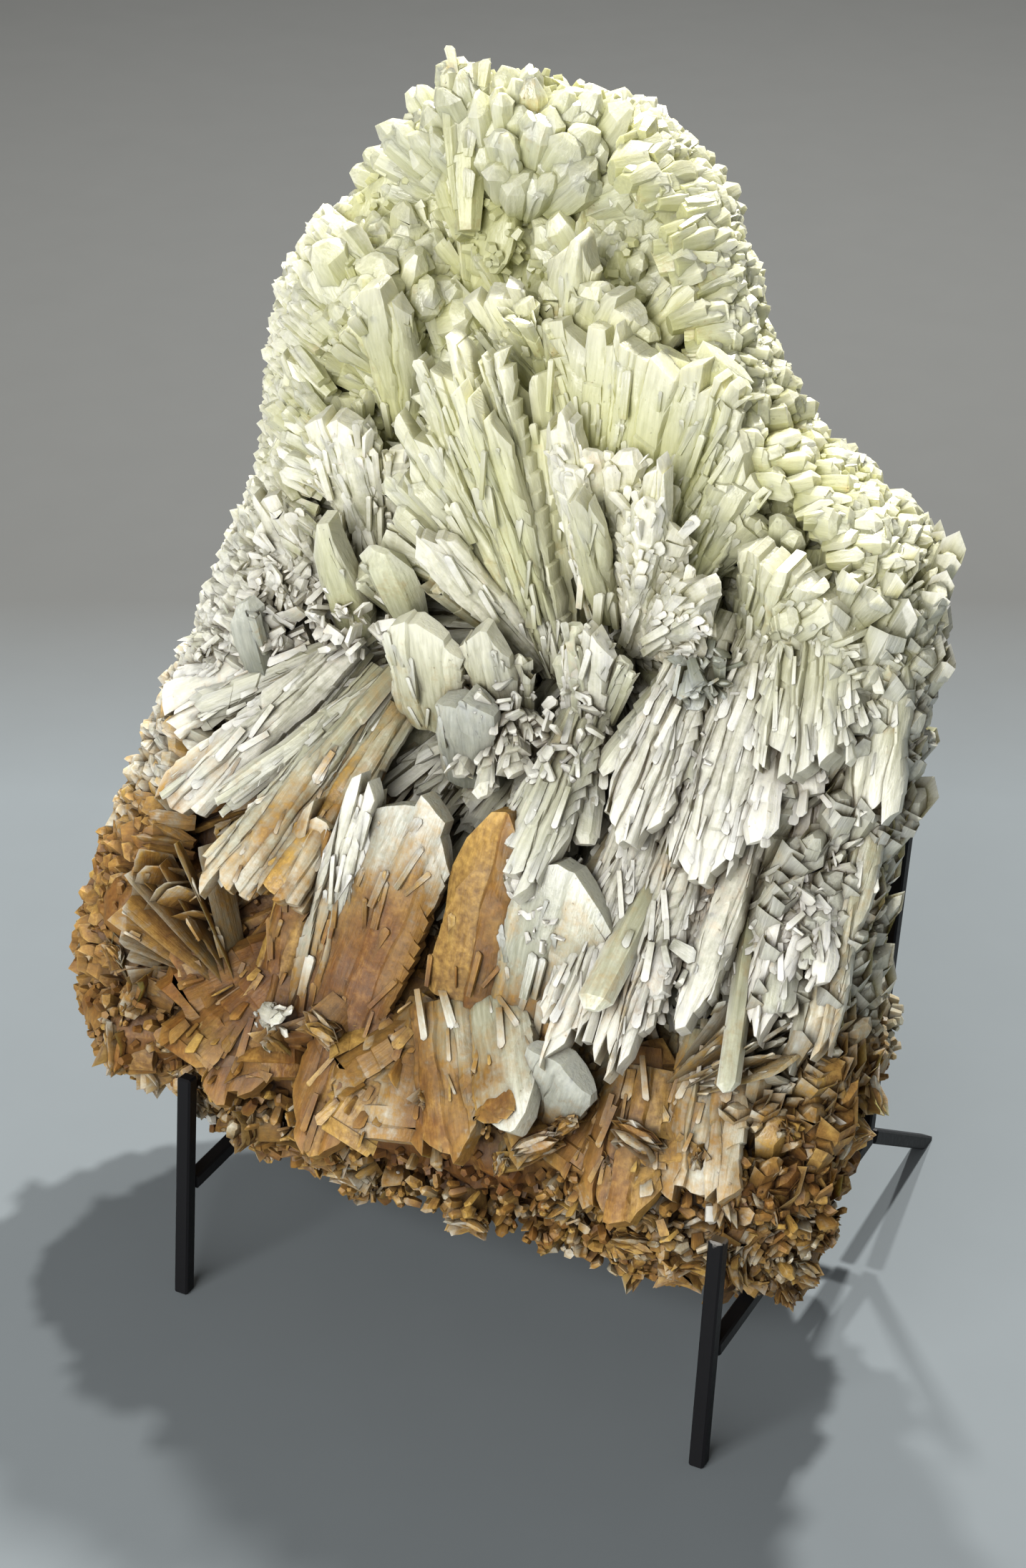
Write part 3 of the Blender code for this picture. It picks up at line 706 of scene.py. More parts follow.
def slab_loops(high, across):
    """Corners of a slab's quads: its front, its back and its four edges."""
    first = np.arange(high * across).reshape(high, across)
    second = first + first.size
    low, up = first[:-1], first[1:]
    quads = [np.stack([low[:, :-1], low[:, 1:], up[:, 1:], up[:, :-1]], -1),
             np.stack([low[:, :-1], up[:, :-1], up[:, 1:], low[:, 1:]], -1) + first.size,
             np.stack([low[:, 0], up[:, 0], second[1:, 0], second[:-1, 0]], -1),
             np.stack([up[:, -1], low[:, -1], second[:-1, -1], second[1:, -1]], -1),
             np.stack([first[0, 1:], first[0, :-1], second[0, :-1], second[0, 1:]], -1),
             np.stack([first[-1, :-1], first[-1, 1:], second[-1, 1:], second[-1, :-1]], -1)]
    return np.concatenate([q.reshape(-1) for q in quads])


def add_slab(growth, slab, seed):
    """One fused slab, as points, faces and attributes ready for its piece."""
    luck = np.random.default_rng(seed)
    root = face_point(slab.root_x, slab.root_z, -slab.depth)
    axis = face_point(slab.tip_x, slab.tip_z, slab.out) - root
    length = axis.length
    along = axis / length
    side = along.cross(FACE_OUT).normalized()
    front = side.cross(along)
    grid = slab_grid(slab, length, luck)
    high, across = grid.across.shape
    parts = {"point": [], "growth": [], "tint": [], "grain": [], "edge": []}
    for y in (grid.near, grid.far):
        place = (np.array(root) + grid.across[..., None] * np.array(side)
                 + y[..., None] * np.array(front) + grid.along[..., None] * np.array(along))
        place = place.reshape(-1, 3)
        rust = [min(max(stain_at(Vector(p)) + slab.rust, 0.0), 1.0) for p in place]
        parts["point"].append(place)
        parts["growth"].append(np.stack([grid.share.ravel(), grid.tone.ravel(), rust], -1))
        parts["tint"].append(np.tile(slab.tint, (y.size, 1)))
        grain = np.stack([grid.across, y + grid.tone * GRAIN_SHIFT, grid.along], -1)
        parts["grain"].append(grain)
        parts["edge"].append(np.stack([grid.rim, grid.scale_tone, grid.rim * 0], -1))
    points, *rest = (np.concatenate([v.reshape(-1, 3) for v in values])
                     for values in parts.values())
    loops = slab_loops(high, across)
    growth.slabs.append((points, loops, np.full(len(loops) // 4, 4),
                         dict(zip(list(parts)[1:], rest))))
    tint = slab.tint._replace(frost=slab.tint.frost * 0.9)
    for _ in range(round(SPLINTERS * calmness(slab) * length * slab.tip_width)):
        row, column = luck.integers(2, high), luck.integers(0, across)
        spot = Vector(points[row * across + column])
        way = along + side * grid.u[column] * 0.35 + Vector(luck.uniform(-0.22, 0.22, 3))
        way.normalize()
        size = luck.uniform(4, 13)
        growth.add(spot - way * size, spot + front * luck.uniform(-0.3, 0.5), side,
                   size * luck.uniform(0.1, 0.25), size * 0.1, 0.8, 0.5,
                   rest[0][row * across + column][2], tint, "chip")


print("quads of a slab of 25 by 16 points:", len(slab_loops(25, 16)) // 4)

# %% [markdown]
# These tables place the slabs, each from its root, deep in the face, to its tip, which stands a
# little out of it. The numbers are where its root and its tip are and how deep or far out, its
# width at both, how thick it is, how many crystals make it, how pointed its end is, how much
# more rust it has than its place, and its tint. A row can leave out the last two.

# %% Slabs of the front
CLEAR = Tint(0, 0.55, 0.0)
WHITE = Tint(0.05, 0.05, 0.6)
SNOW = Tint(0.0, 0.0, 0.95)
GREYISH = Tint(0.4, 0.0, 0.2)
CROWN_SLABS = tuple(Slab(*row) for row in (
    (-14, 228, 20, -9, 278, 9, 8, 15, 11, 4, 0.15),
    (-16, 228, 18, -30, 262, 8, 8, 17, 10, 4, 0.1),
    (-8, 234, 18, 8, 264, 8, 8, 16, 10, 4, 0.1),
    (-2, 236, 18, 20, 265, 3, 8, 15, 9, 4, 0.1),
    (-60, 218, 20, -82, 258, 3, 10, 20, 11, 4, 0.15),
    (-58, 216, 18, -60, 258, 6, 9, 18, 10, 4, 0.15),
    (-68, 196, 20, -90, 232, 3, 10, 18, 10, 4, 0.2)))
CENTRE_SLABS = tuple(Slab(*row) for row in (
    (-3, 166, 16, -34, 250, 15, 9, 31, 13, 14, 0.08),
    (-4, 170, 13, -25, 246, 18, 7, 14, 9, 5, 0.12, 0, CLEAR),
    (-4, 168, 15, -47, 232, 10, 8, 18, 11, 6, 0.2),
    (-7, 168, 13, -38, 207, 11, 7, 14, 9, 4, 0.2, 0, WHITE),
    (9, 182, 18, 16, 257, 11, 18, 58, 13, 15, 0.04, 0, CLEAR),
    (20, 182, 16, 41, 236, 6, 12, 24, 11, 6, 0.12, 0, CLEAR),
    (6, 184, 10, -2, 246, 18, 6, 14, 9, 5, 0.3, 0, WHITE),
    (10, 184, 9, 8, 228, 20, 6, 12, 8, 4, 0.3),
    (18, 184, 8, 27, 238, 20, 6, 13, 8, 5, 0.35, 0, WHITE),
    (18, 178, 12, 44, 206, 11, 8, 20, 9, 6, 0.2, 0, WHITE)))
RIGHT_SLABS = tuple(Slab(*row) for row in (
    (46, 176, 20, 57, 214, 7, 12, 26, 12, 9, 0.12),
    (48, 176, 18, 71, 205, 6, 12, 26, 12, 9, 0.12),
    (50, 174, 16, 80, 189, 3, 12, 22, 11, 8, 0.12),
    (60, 206, 14, 70, 160, 8, 20, 28, 12, 11, 0.1),
    (80, 196, 10, 84, 148, 3, 12, 16, 10, 4, 0.1, 0.05),
    (36, 190, 12, 31, 142, 8, 12, 20, 10, 10, 0.15, 0, WHITE),
    (50, 188, 12, 50, 136, 9, 14, 22, 10, 11, 0.15, 0, WHITE),
    (30, 152, 10, 27, 94, 9, 14, 17, 10, 9, 0.15, 0.0, WHITE),
    (43, 154, 10, 42, 92, 10, 13, 16, 10, 9, 0.2, 0.1, WHITE),
    (58, 150, 10, 56, 104, 10, 8, 10, 9, 4, 0.25, 0.0, WHITE),
    (69, 152, 10, 73, 104, 11, 8, 13, 9, 5, 0.3, 0.0, SNOW),
    (82, 148, 8, 84, 94, 3, 10, 12, 9, 4, 0.2, 0.15),
    (60, 100, 10, 66, 66, 7, 18, 26, 9, 6, 0.2, 0.15)))
MIDDLE_SLABS = tuple(Slab(*row) for row in (
    (-32, 150, 10, -32, 186, 14, 18, 25, 8, 4, 0.3, -0.3),
    (-60, 162, 14, -65, 202, 10, 10, 15, 10, 2, 0.6, -0.3, CLEAR),
    (-62, 184, 16, -70, 226, 5, 10, 24, 10, 7, 0.2, -0.3, WHITE),
    (-70, 166, 16, -90, 198, 5, 10, 22, 10, 6, 0.25, -0.3, WHITE),
    (-13, 152, 12, -16, 185, 10, 10, 16, 8, 4, 0.2, -0.2),
    (10, 174, 14, 9, 128, 12, 12, 20, 10, 7, 0.2, 0, Tint(0.1, 0.35, 0.4)),
    (9, 152, 12, 12, 193, 9, 9, 16, 8, 5, 0.2, 0, WHITE),
    (-50, 158, 12, -73, 108, 13, 9, 17, 9, 5, 0.1, 0.1),
    (-60, 164, 12, -98, 120, 10, 9, 18, 9, 5, 0.1, 0.08, WHITE),
    (-74, 160, 12, -110, 138, 5, 10, 18, 9, 5, 0.1, 0.05, WHITE),
    (-42, 152, 10, -58, 108, 9, 9, 14, 8, 4, 0.1, 0.2),
    (-18, 140, 12, -18, 170, 9, 16, 18, 12, 3, 0.15, -0.2, GREYISH)))
LOW_SLABS = tuple(Slab(*row) for row in (
    (-40, 78, 10, -23, 149, 12, 27, 32, 11, 4, 0.14, 0.38, Tint(0.25, 0.15, 0.0)),
    (-48, 80, 10, -36, 150, 13, 12, 15, 9, 5, 0.25, -0.2, WHITE),
    (-60, 84, 10, -49, 138, 8, 10, 14, 8, 4, 0.15, 0.25),
    (-5, 96, 8, 1, 153, 12, 20, 24, 11, 2, 0.4, 0.75, Tint(0.3, 0.15, 0.0)),
    (14, 94, 8, 20, 144, 13, 26, 33, 10, 4, 0.25, 0.06, Tint(0.25, 0.2, 0.05)),
    (2, 102, 8, 24, 76, 10, 16, 24, 8, 3, 0.3, -0.1),
    (-12, 94, 8, 8, 64, 9, 18, 26, 8, 4, 0.3),
    (22, 76, 8, 30, 98, 9, 20, 22, 9, 3, 0.15, -0.25, GREYISH),
    (-60, 92, 10, -62, 60, 9, 20, 26, 8, 5, 0.3, 0.2),
    (-32, 88, 10, -34, 56, 10, 20, 26, 9, 5, 0.3, 0.2),
    (44, 90, 10, 48, 60, 9, 18, 24, 9, 5, 0.3, 0.1)))
print("fused slabs:", len(CROWN_SLABS + CENTRE_SLABS + RIGHT_SLABS + MIDDLE_SLABS + LOW_SLABS))

# %% [markdown]
# The fans are the main forms: blades that spread from one root like an open hand, the middle
# ones standing furthest out. Each blade is shorter or longer, nearer or further, and turned a
# little, by luck. One function plants a fan, and another gathers all that belongs to one piece.

# %% Fans of blades
Fan = namedtuple("Fan", "root_x root_z depth tip_x tip_z out width thick blades spread look stain",
                 defaults=(0,))
NEAR_STEP = 1.2
EDGE_DROP = 4.0
UNEVEN_STEP = 1.4
SHORTER_AT_EDGES = 0.10
UNEVEN_LENGTH = 0.15
TWIST = 22.0


def add_fan(growth, fan, rng):
    """One fan: blades side by side from one root, the middle ones standing furthest out."""
    root = face_point(fan.root_x, fan.root_z, -fan.depth)
    axis = face_point(fan.tip_x, fan.tip_z, fan.out) - root
    look = LOOKS[fan.look]
    for i in range(fan.blades):
        share = 2 * i / (fan.blades - 1) - 1 if fan.blades > 1 else 0.0
        swing = Matrix.Rotation(radians(fan.spread) * share, 3, FACE_OUT)
        lift = FACE_OUT * (NEAR_STEP - EDGE_DROP * share * share
                           + UNEVEN_STEP * rng.uniform(-1, 1))
        shorter = SHORTER_AT_EDGES * share * share + UNEVEN_LENGTH * rng.random()
        along = (swing @ axis).normalized()
        tip = root + along * axis.length * (1 - shorter) + lift
        turn = rng.uniform(-TWIST, TWIST) - share * TWIST + look.turn
        add_blade(growth, root + lift / 2, tip, Matrix.Rotation(radians(turn), 3, along) @ FACE_OUT,
                  fan.width, fan.thick, look, rng, fan.stain)


def fans_piece(name, fans, slabs, seed):
    """All fans and slabs of one part of the front, gathered for one piece."""
    growth = Growth(name, seed)
    for number, slab in enumerate(slabs):
        add_slab(growth, slab, seed * 100 + number)
    for number, fan in enumerate(fans):
        add_fan(growth, fan, random.Random(seed * 100 + number))
    return growth

# %% [markdown]
# Each row of the next tables plants one fan: where its root is on the face and how deep, where
# its middle blade ends and how far that stands out, then the blade's width and thickness, how
# many blades, how wide the fan opens, the look, and its stain, none if it is left out. A stain
# of None is taken from the place. The upper half has clean fans: the top and its left dome, and
# the burst's centre.

# %% Fans of the upper half
CROWN_FANS = tuple(Fan(*row) for row in (
    # the apex
    (-44, 266, 8, -54, 308, 0, 13, 11, 1, 0, "blunt"),
    (-46, 264, 10, -62, 298, -2, 12, 10, 2, 14, "blunt"),
    # columns of the top
    (-14, 228, 20, -9, 268, 6, 10, 8, 4, 34, "blade"),
    (-16, 232, 14, -20, 260, 9, 9, 7, 3, 26, "blunt"),
    (-2, 236, 18, 14, 258, 4, 10, 7, 3, 22, "blade"),
    # left dome and flank
    (-60, 220, 20, -78, 252, 3, 11, 9, 4, 40, "blade"),
    (-58, 222, 18, -64, 250, 5, 9, 8, 3, 28, "blunt"),
    (-70, 198, 20, -88, 224, 3, 10, 9, 4, 34, "blunt")))
CENTRE_FANS = tuple(Fan(*row) for row in (
    # left of the cleft
    (-2, 170, 20, -36, 248, 5, 12, 8, 4, 16, "blade"),
    (-2, 168, 16, -38, 234, 8, 10, 7, 5, 20, "blade"),
    (-6, 172, 16, -47, 212, 6, 10, 7, 4, 18, "blade"),
    # right of the cleft
    (14, 184, 20, 20, 256, 6, 14, 9, 5, 22, "flat"),
    (7, 178, 14, 0, 238, 15, 9, 6, 4, 6, "feather"),
    (13, 182, 14, 16, 238, 13, 10, 7, 3, 10, "feather"),
    (16, 178, 10, 27, 230, 19, 9, 6, 3, 9, "feather"),
    (20, 184, 18, 40, 230, 4, 11, 8, 4, 14, "blade"),
    (16, 176, 12, 42, 202, 9, 9, 6, 4, 20, "feather"),
    # inside the cleft
    (0, 176, 24, -4, 200, -8, 7, 6, 2, 10, "clear")))
print("fans of the top and the centre:", len(CROWN_FANS), len(CENTRE_FANS))

# %% [markdown]
# At the right are a rosette and white curtains that hang from it, in the middle feathers, long
# blades and sheaves, and below them stained plates, box-like crossings and fringes.

# %% Fans of the right, the middle and the base
RIGHT_FANS = tuple(Fan(*row) for row in (
    # rosette
    (46, 180, 22, 60, 208, 2, 9, 7, 5, 32, "blade"),
    (44, 178, 20, 73, 194, 1, 9, 7, 4, 20, "blade"),
    (48, 184, 16, 60, 202, 5, 9, 7, 4, 36, "blade"),
    # white drapes
    (60, 206, 14, 74, 166, 3, 12, 8, 4, 24, "column", 0.06),
    (34, 186, 14, 30, 142, 6, 9, 6, 3, 17, "column"),
    (54, 188, 14, 58, 142, 6, 9, 6, 4, 20, "feather"),
    # curtains under them
    (28, 150, 12, 26, 102, 7, 8, 6, 3, 14, "column", 0.2),
    (46, 152, 12, 46, 100, 8, 8, 6, 3, 11, "feather", 0.25),
    (66, 154, 14, 70, 104, 4, 9, 6, 4, 18, "column", 0.15),
    (72, 148, 10, 75, 112, 10, 8, 6, 2, 14, "feather"),
    # clear prisms, thin plates at the edge and a green patch
    (38, 134, 6, 36, 110, 14, 8, 6, 1, 0, "clear", 0.1),
    (62, 126, 6, 72, 96, 12, 7, 5, 1, 0, "clear", 0.25),
    (52, 84, 14, 80, 110, 8, 16, 2.2, 7, 19, "thin", 0.45),
    (50, 206, 12, 54, 219, 4, 9, 7, 2, 20, "clear")))
MIDDLE_FANS = tuple(Fan(*row) for row in (
    # feathers on the left
    (-60, 184, 18, -68, 224, 3, 10, 7, 4, 30, "feather"),
    (-66, 166, 16, -88, 194, 3, 10, 8, 4, 32, "feather"),
    # rhombs, spears and blunt crystals
    (-44, 170, 12, -45, 197, 9, 15, 9, 1, 0, "clear"),
    (-48, 172, 12, -55, 194, 5, 12, 8, 2, 16, "spear"),
    (-8, 148, 12, -15, 182, 8, 8, 5, 3, 14, "spear"),
    (-20, 172, 14, -29, 198, 4, 13, 10, 2, 12, "blunt", 0.25),
    # sheaves that open upwards and downwards
    (9, 150, 12, 12, 192, 8, 7, 5, 4, 18, "column"),
    (10, 172, 12, 9, 128, 9, 7, 5, 4, 14, "column", 0.05),
    # a glassy block and long blades
    (-84, 152, 6, -88, 174, 7, 11, 9, 1, 0, "block"),
    (-46, 160, 10, -76, 112, 10, 9, 5, 3, 14, "long", None),
    (-56, 166, 14, -101, 124, 7, 9, 5, 3, 15, "long", None),
    (-74, 158, 14, -106, 141, 3, 9, 6, 4, 26, "long", None),
    # stained spears and a white spray
    (-46, 138, 12, -65, 102, 8, 15, 6, 2, 10, "thin", 0.55),
    (-14, 160, 10, -2, 146, 8, 8, 6, 4, 40, "fibre")))
LOW_FANS = tuple(Fan(*row) for row in (
    # blades beside and on the great plates
    (-56, 86, 12, -45, 134, 7, 9, 5, 3, 9, "long", None),
    (10, 108, 10, 7, 138, 12, 9, 5, 4, 16, "feather", 0.0),
    (2, 98, 12, 20, 76, 7, 14, 5, 3, 28, "plate", None),
    # crossing plates like boxes, and pale needles
    (-70, 86, 8, -106, 110, 10, 13, 1.5, 8, 34, "thin", 0.65),
    (-102, 86, 8, -80, 114, 9, 12, 1.5, 6, 28, "thin", 0.6),
    (-66, 82, 6, -42, 85, 10, 6, 4, 2, 10, "fibre", 0.1),
    # fringes above the base
    (-60, 94, 12, -70, 66, 8, 22, 8, 4, 36, "flake", None),
    (-14, 92, 12, -18, 62, 9, 22, 8, 4, 34, "flake", None),
    (40, 92, 14, 48, 58, 8, 24, 9, 3, 28, "flake", None)))

crown = fans_piece("crown_crystals", CROWN_FANS, CROWN_SLABS, 1)
centre = fans_piece("centre_fans", CENTRE_FANS, CENTRE_SLABS, 2)
right = fans_piece("right_fans", RIGHT_FANS, RIGHT_SLABS, 3)
middle = fans_piece("middle_blades", MIDDLE_FANS, MIDDLE_SLABS, 4)
low = fans_piece("stained_plates", LOW_FANS, LOW_SLABS, 5)
print("crystals in the fans:",
      sum(len(rows) for g in (crown, centre, right, middle, low) for rows in g.rows.values()))

# %% [markdown]
# The top and both shoulders end in domes of blunt buds, all pointing away from one centre.
# Points spread by the golden angle cover a dome evenly, and each point gets a small bundle.
# A point both nearer to the front than a dome's first limit and lower than its second is left
# out, because the fans stand there.

# %% Domes of buds
Dome = namedtuple("Dome", "centre radii bundles width front above tilt tint")
DOMES = tuple(Dome(*row) for row in (
    ((-40, 125, 258), (43, 20, 43), 200, 10.5, -0.35, 0.55, 30, Tint(0.15, 0.3, 0.1)),
    ((-13, 125, 240), (38, 20, 33), 130, 10, -0.35, 0.55, 30, Tint(0.12, 0.25, 0.1)),
    ((-69, 112, 230), (28, 26, 34), 95, 11, -0.5, 0.45, 30, Tint(0, 0.35, 0.15)),
    ((49, 110, 180), (28, 26, 27), 105, 11, -2, 0, 30, Tint(0, 0.15, 0.3))))
DOME_REACH = 1.45
DOME_ROOT = 0.5
BUNDLE = 3


def toss(rng, reach):
    """Vector with three random parts, each between minus and plus reach."""
    return Vector([rng.uniform(-reach, reach) for _ in range(3)])


def add_dome(growth, dome, rng):
    """Bundles of blunt crystals over one dome."""
    golden = pi * (3 - sqrt(5))
    centre = Vector(dome.centre)
    tilt = Matrix.Rotation(radians(dome.tilt), 3, "X")
    for i in range(dome.bundles):
        polar = acos(1 - DOME_REACH * (i + 0.5) / dome.bundles)
        turn = golden * i
        ray = tilt @ Vector((sin(polar) * cos(turn), sin(polar) * sin(turn), cos(polar)))
        if ray.y < dome.front and ray.z < dome.above:
            continue
        bulge = 1 + 0.14 * noise.noise(ray * 3.1) + rng.uniform(-0.06, 0.03)
        for _ in range(BUNDLE):
            way = ray + toss(rng, 0.1)
            reach = Vector([r * size for r, size in zip(way, dome.radii)]) * bulge
            reach *= rng.uniform(0.93, 1.0)
            width = dome.width * rng.uniform(0.6, 1.2)
            growth.add(centre + reach * DOME_ROOT, centre + reach, toss(rng, 1), width,
                       width * rng.uniform(0.6, 0.9), 0.7, rng.uniform(0.3, 0.5), None,
                       dome.tint, "bud")


for growth, dome, seed in zip((crown, crown, crown, right), DOMES, (11, 14, 12, 13)):
    add_dome(growth, dome, random.Random(seed))
print("buds of the domes:", len(crown.rows["bud"]), len(right.rows["bud"]))

# %% [markdown]
# Between the fans, the front is filled with smaller blades that all lead away from one point in
# the middle, so the whole face looks like one burst. They start deeper than the fans and stay
# behind their tips.

# %% Filling between the fans
BURST = (0.0, 172.0)
BURST_RADIUS = 12.0
FILL_LOW = 84.0
FILL_HIGH = 268.0
FILL_SIZES = (8, 22)
FILL_MARGIN = 13
PIT_LIMIT = 0.3
CHIP_BELOW = 12


def add_filling(growth, count, x_range, z_range, depth, tint, seed, stain=None):
    """Small blades over part of the front, all leading away from the burst's centre."""
    rng = random.Random(seed)
    for _ in range(count):
        x = rng.uniform(*x_range)
        z = rng.uniform(*z_range)
        section = section_at(z)
        inside = section.left + FILL_MARGIN < x < section.right - FILL_MARGIN
        if not inside or pit_at(x, z) > PIT_LIMIT:
            continue
        way = Vector((x - BURST[0], 0, z - BURST[1]))
        far = max(way.length, BURST_RADIUS)
        way = way / far + Vector((rng.uniform(-0.35, 0.35), 0, rng.uniform(-0.35, 0.35)))
        size = rng.uniform(*FILL_SIZES)
        base = face_point(x, z, -depth - rng.uniform(0, 5))
        end_z = z + way.z * size
        section = section_at(end_z)
        end_x = min(max(x + way.x * size, section.left + 12), section.right - 14)
        tip = face_point(end_x, end_z, -depth + size * rng.uniform(0.1, 0.4))
        growth.add(base, tip, toss(rng, 1), size * rng.uniform(0.22, 0.4),
                   size * rng.uniform(0.1, 0.2), 0.7, rng.uniform(0.4, 0.85), stain, tint,
                   "chip" if size < CHIP_BELOW else "fin")


add_filling(centre, 900, (-60, 60), (168, FILL_HIGH), 22, Tint(0, 0.45, 0.15), 21, 0.0)
add_filling(middle, 850, (-116, 4), (FILL_LOW, 215), 21, Tint(0.08, 0.1, 0.45), 22)
add_filling(right, 800, (0, 92), (FILL_LOW, 200), 21, Tint(0.15, 0.05, 0.5), 23)
print("fins and chips with the filling:",
      [len(g.rows["fin"]) + len(g.rows["chip"]) for g in (centre, middle, right)])

# %% [markdown]
# In places the blades are overgrown by a snowy crust. Each patch is a scatter of short crystals
# at all angles, heaped a little higher in its middle.

# %% Crusts on the face
Crust = namedtuple("Crust", "x z half_width half_height count size out tint")
RIGHT_CRUSTS = tuple(Crust(*row) for row in (
    (44, 160, 16, 18, 110, 5, -1, Tint(0.1, 0.0, 0.9)),
    (38, 178, 8, 7, 40, 6, 2, Tint(0.55, 0.0, 0.1)),
    (16, 124, 10, 9, 50, 4, 6, Tint(0.0, 0.0, 1.0)),
    (76, 128, 9, 16, 50, 5, 2, Tint(0.0, 0.1, 0.7)),
    (52, 120, 14, 12, 60, 5, 2, Tint(0.2, 0.0, 0.5))))
LEFT_CRUSTS = tuple(Crust(*row) for row in (
    (-86, 172, 14, 22, 170, 6, -2, Tint(0.25, 0.0, 0.7)),
    (-60, 172, 14, 10, 70, 5, 0, Tint(0.1, 0.05, 0.7)),
    (-98, 152, 8, 14, 60, 6, -2, Tint(0.2, 0.0, 0.6)),
    (-14, 164, 10, 8, 40, 4, 5, Tint(0.3, 0.0, 0.6)),
    (8, 156, 9, 26, 70, 4, 4, Tint(0.2, 0.1, 0.6))))
CRUST_HEAP = 5.0
FIN_ABOVE = 7


def add_crust(growth, crust, rng):
    """Short crystals heaped over one patch of the face."""
    for _ in range(crust.count):
        turn, far = rng.uniform(0, 2 * pi), sqrt(rng.random())
        x = crust.x + crust.half_width * far * cos(turn)
        z = crust.z + crust.half_height * far * sin(turn)
        size = crust.size * rng.uniform(0.5, 1.4)
        point = face_point(x, z, crust.out + CRUST_HEAP * (1 - 2 * far * far) - rng.uniform(0, 4))
        way = Vector((rng.uniform(-1, 1), rng.uniform(-1.0, 0.1), rng.uniform(-1, 1))).normalized()
        growth.add(point - way * size * 0.6, point + way * size * 0.4, toss(rng, 1),
                   size * rng.uniform(0.4, 0.8), size * rng.uniform(0.15, 0.35), 0.7,
                   rng.uniform(0.4, 0.8), None, crust.tint, "fin" if size > FIN_ABOVE else "chip")


for growth, crusts, seed in ((right, RIGHT_CRUSTS, 51), (middle, LEFT_CRUSTS, 61)):
    for number, crust in enumerate(crusts):
        add_crust(growth, crust, random.Random(seed + number))
print("crusts:", len(RIGHT_CRUSTS + LEFT_CRUSTS))

# %% [markdown]
# The sides and the back close the cluster. The left flank is a crust of small cream knobs, the
# right side stands in tall smooth ridges with grains between them and a slope of buds above,
# and the back, which rested against rock, is a coarser crust with four flat domes of buds. The
# crusts follow the outline by height and angle.

# %% Flanks and back
Zone = namedtuple("Zone", "angles heights count width length lean tint kind")
FLANK_ZONES = tuple(Zone(*row) for row in (
    ((146, 222), (104, 262), 1100, (4, 9), (8, 14), 0.5, Tint(0.08, 0.1, 0.45), "knob"),
    ((146, 226), (40, 118), 500, (5, 11), (8, 14), 0.2, Tint(0, 0, 0.15), "knob"),
    ((-44, 36), (44, 200), 330, (8, 14), (16, 34), 2.6, Tint(0.1, 0.1, 0.25), "fin"),
    ((-46, 36), (40, 208), 500, (3, 6), (7, 11), 1.2, Tint(0.1, 0.1, 0.3), "knob"),
    ((-34, 44), (206, 292), 460, (6, 11), (7, 10), 0.2, Tint(0, 0.3, 0.1), "bud")))
BACK_ZONE = Zone((34, 148), (34, 292), 1900, (5, 12), (9, 18), 0.7, Tint(0.05, 0.05, 0.25),
                 "knob")
BACK_DOMES = tuple(Dome(*row) for row in (
    ((-58, 103, 84), (36, 10, 28), 50, 12, -2, 0, -95, Tint(0, 0, 0.2)),
    ((22, 107, 98), (38, 10, 32), 60, 12, -2, 0, -95, Tint(0, 0, 0.2)),
    ((-46, 119, 158), (36, 9, 28), 50, 12, -2, 0, -95, Tint(0, 0.1, 0.3)),
    ((30, 120, 170), (32, 9, 28), 50, 12, -2, 0, -95, Tint(0, 0.1, 0.3))))
ZONE_DEPTH = 7.0
ROOT_SHARE = 0.2
ZONE_OUT = 0.3


def add_zone(growth, zone, rng):
    """Crystals on part of the outline, leaning up as they point out."""
    for _ in range(zone.count):
        angle = radians(rng.uniform(*zone.angles))
        height = rng.uniform(*zone.heights)
        point = outline_point(height, angle)
        away = way_out(point)
        way = away + Vector((rng.uniform(-0.4, 0.4), rng.uniform(-0.4, 0.4),
                             zone.lean + rng.uniform(-0.35, 0.35)))
        way.normalize()
        length = rng.uniform(*zone.length)
        width = rng.uniform(*zone.width)
        under = width * 0.3 + rng.uniform(0, 2.5)
        tip = point - away * under + way * length * ZONE_OUT
        growth.add(tip - way * length - away * ZONE_DEPTH * ROOT_SHARE, tip,
                   way.cross(away) + away * rng.uniform(-0.4, 0.4), width,
                   width * rng.uniform(0.4, 0.75), 0.7, rng.uniform(0.45, 0.75), None, zone.tint,
                   zone.kind)


flanks = Growth("flank_crystals", 6)
back = Growth("back_crystals", 7)
for number, zone in enumerate(FLANK_ZONES):
    add_zone(flanks, zone, random.Random(31 + number))
add_zone(back, BACK_ZONE, random.Random(36))
for number, dome in enumerate(BACK_DOMES):
    add_dome(back, dome, random.Random(51 + number))
print("crystals on the flanks and back:",
      [sum(len(rows) for rows in g.rows.values()) for g in (flanks, back)])

# %% [markdown]
# The base is a rusty crust. Broken plates lie there at all angles, a few fresh and white, and
# larger plates stand in bunches like the petals of a rose. All follow the lumps of the rock.
# With them the crystals are complete, and each growth becomes one mesh.

# %% Flakes and rosettes of the base
FLAKE_HEIGHTS = (27, 94)
FLAKE_ANGLES = (172, 366)
FLAKE_SIZES = (2.2, 6.0)
FLAKES = 3600
BASE_MIDDLE_Y = 75
FRESH_SHARE = 0.012
CLUMP = 2.3
CHUNK_SHARE = 0.68
ROSETTES = 84
ROSETTE_PLATES = 9
ROSETTE_SIZES = (8, 16)


def base_spot(angle, height, inset):
    """Point on the lumpy skin of the base, and the way out from there."""
    point = outline_point(height, angle, inset)
    away = Vector((point.x * 0.5, point.y - BASE_MIDDLE_Y, 0)).normalized()
    return point + away * (rough(point, CLUMP) - 3 * smooth(100, 125, -point.x)), away


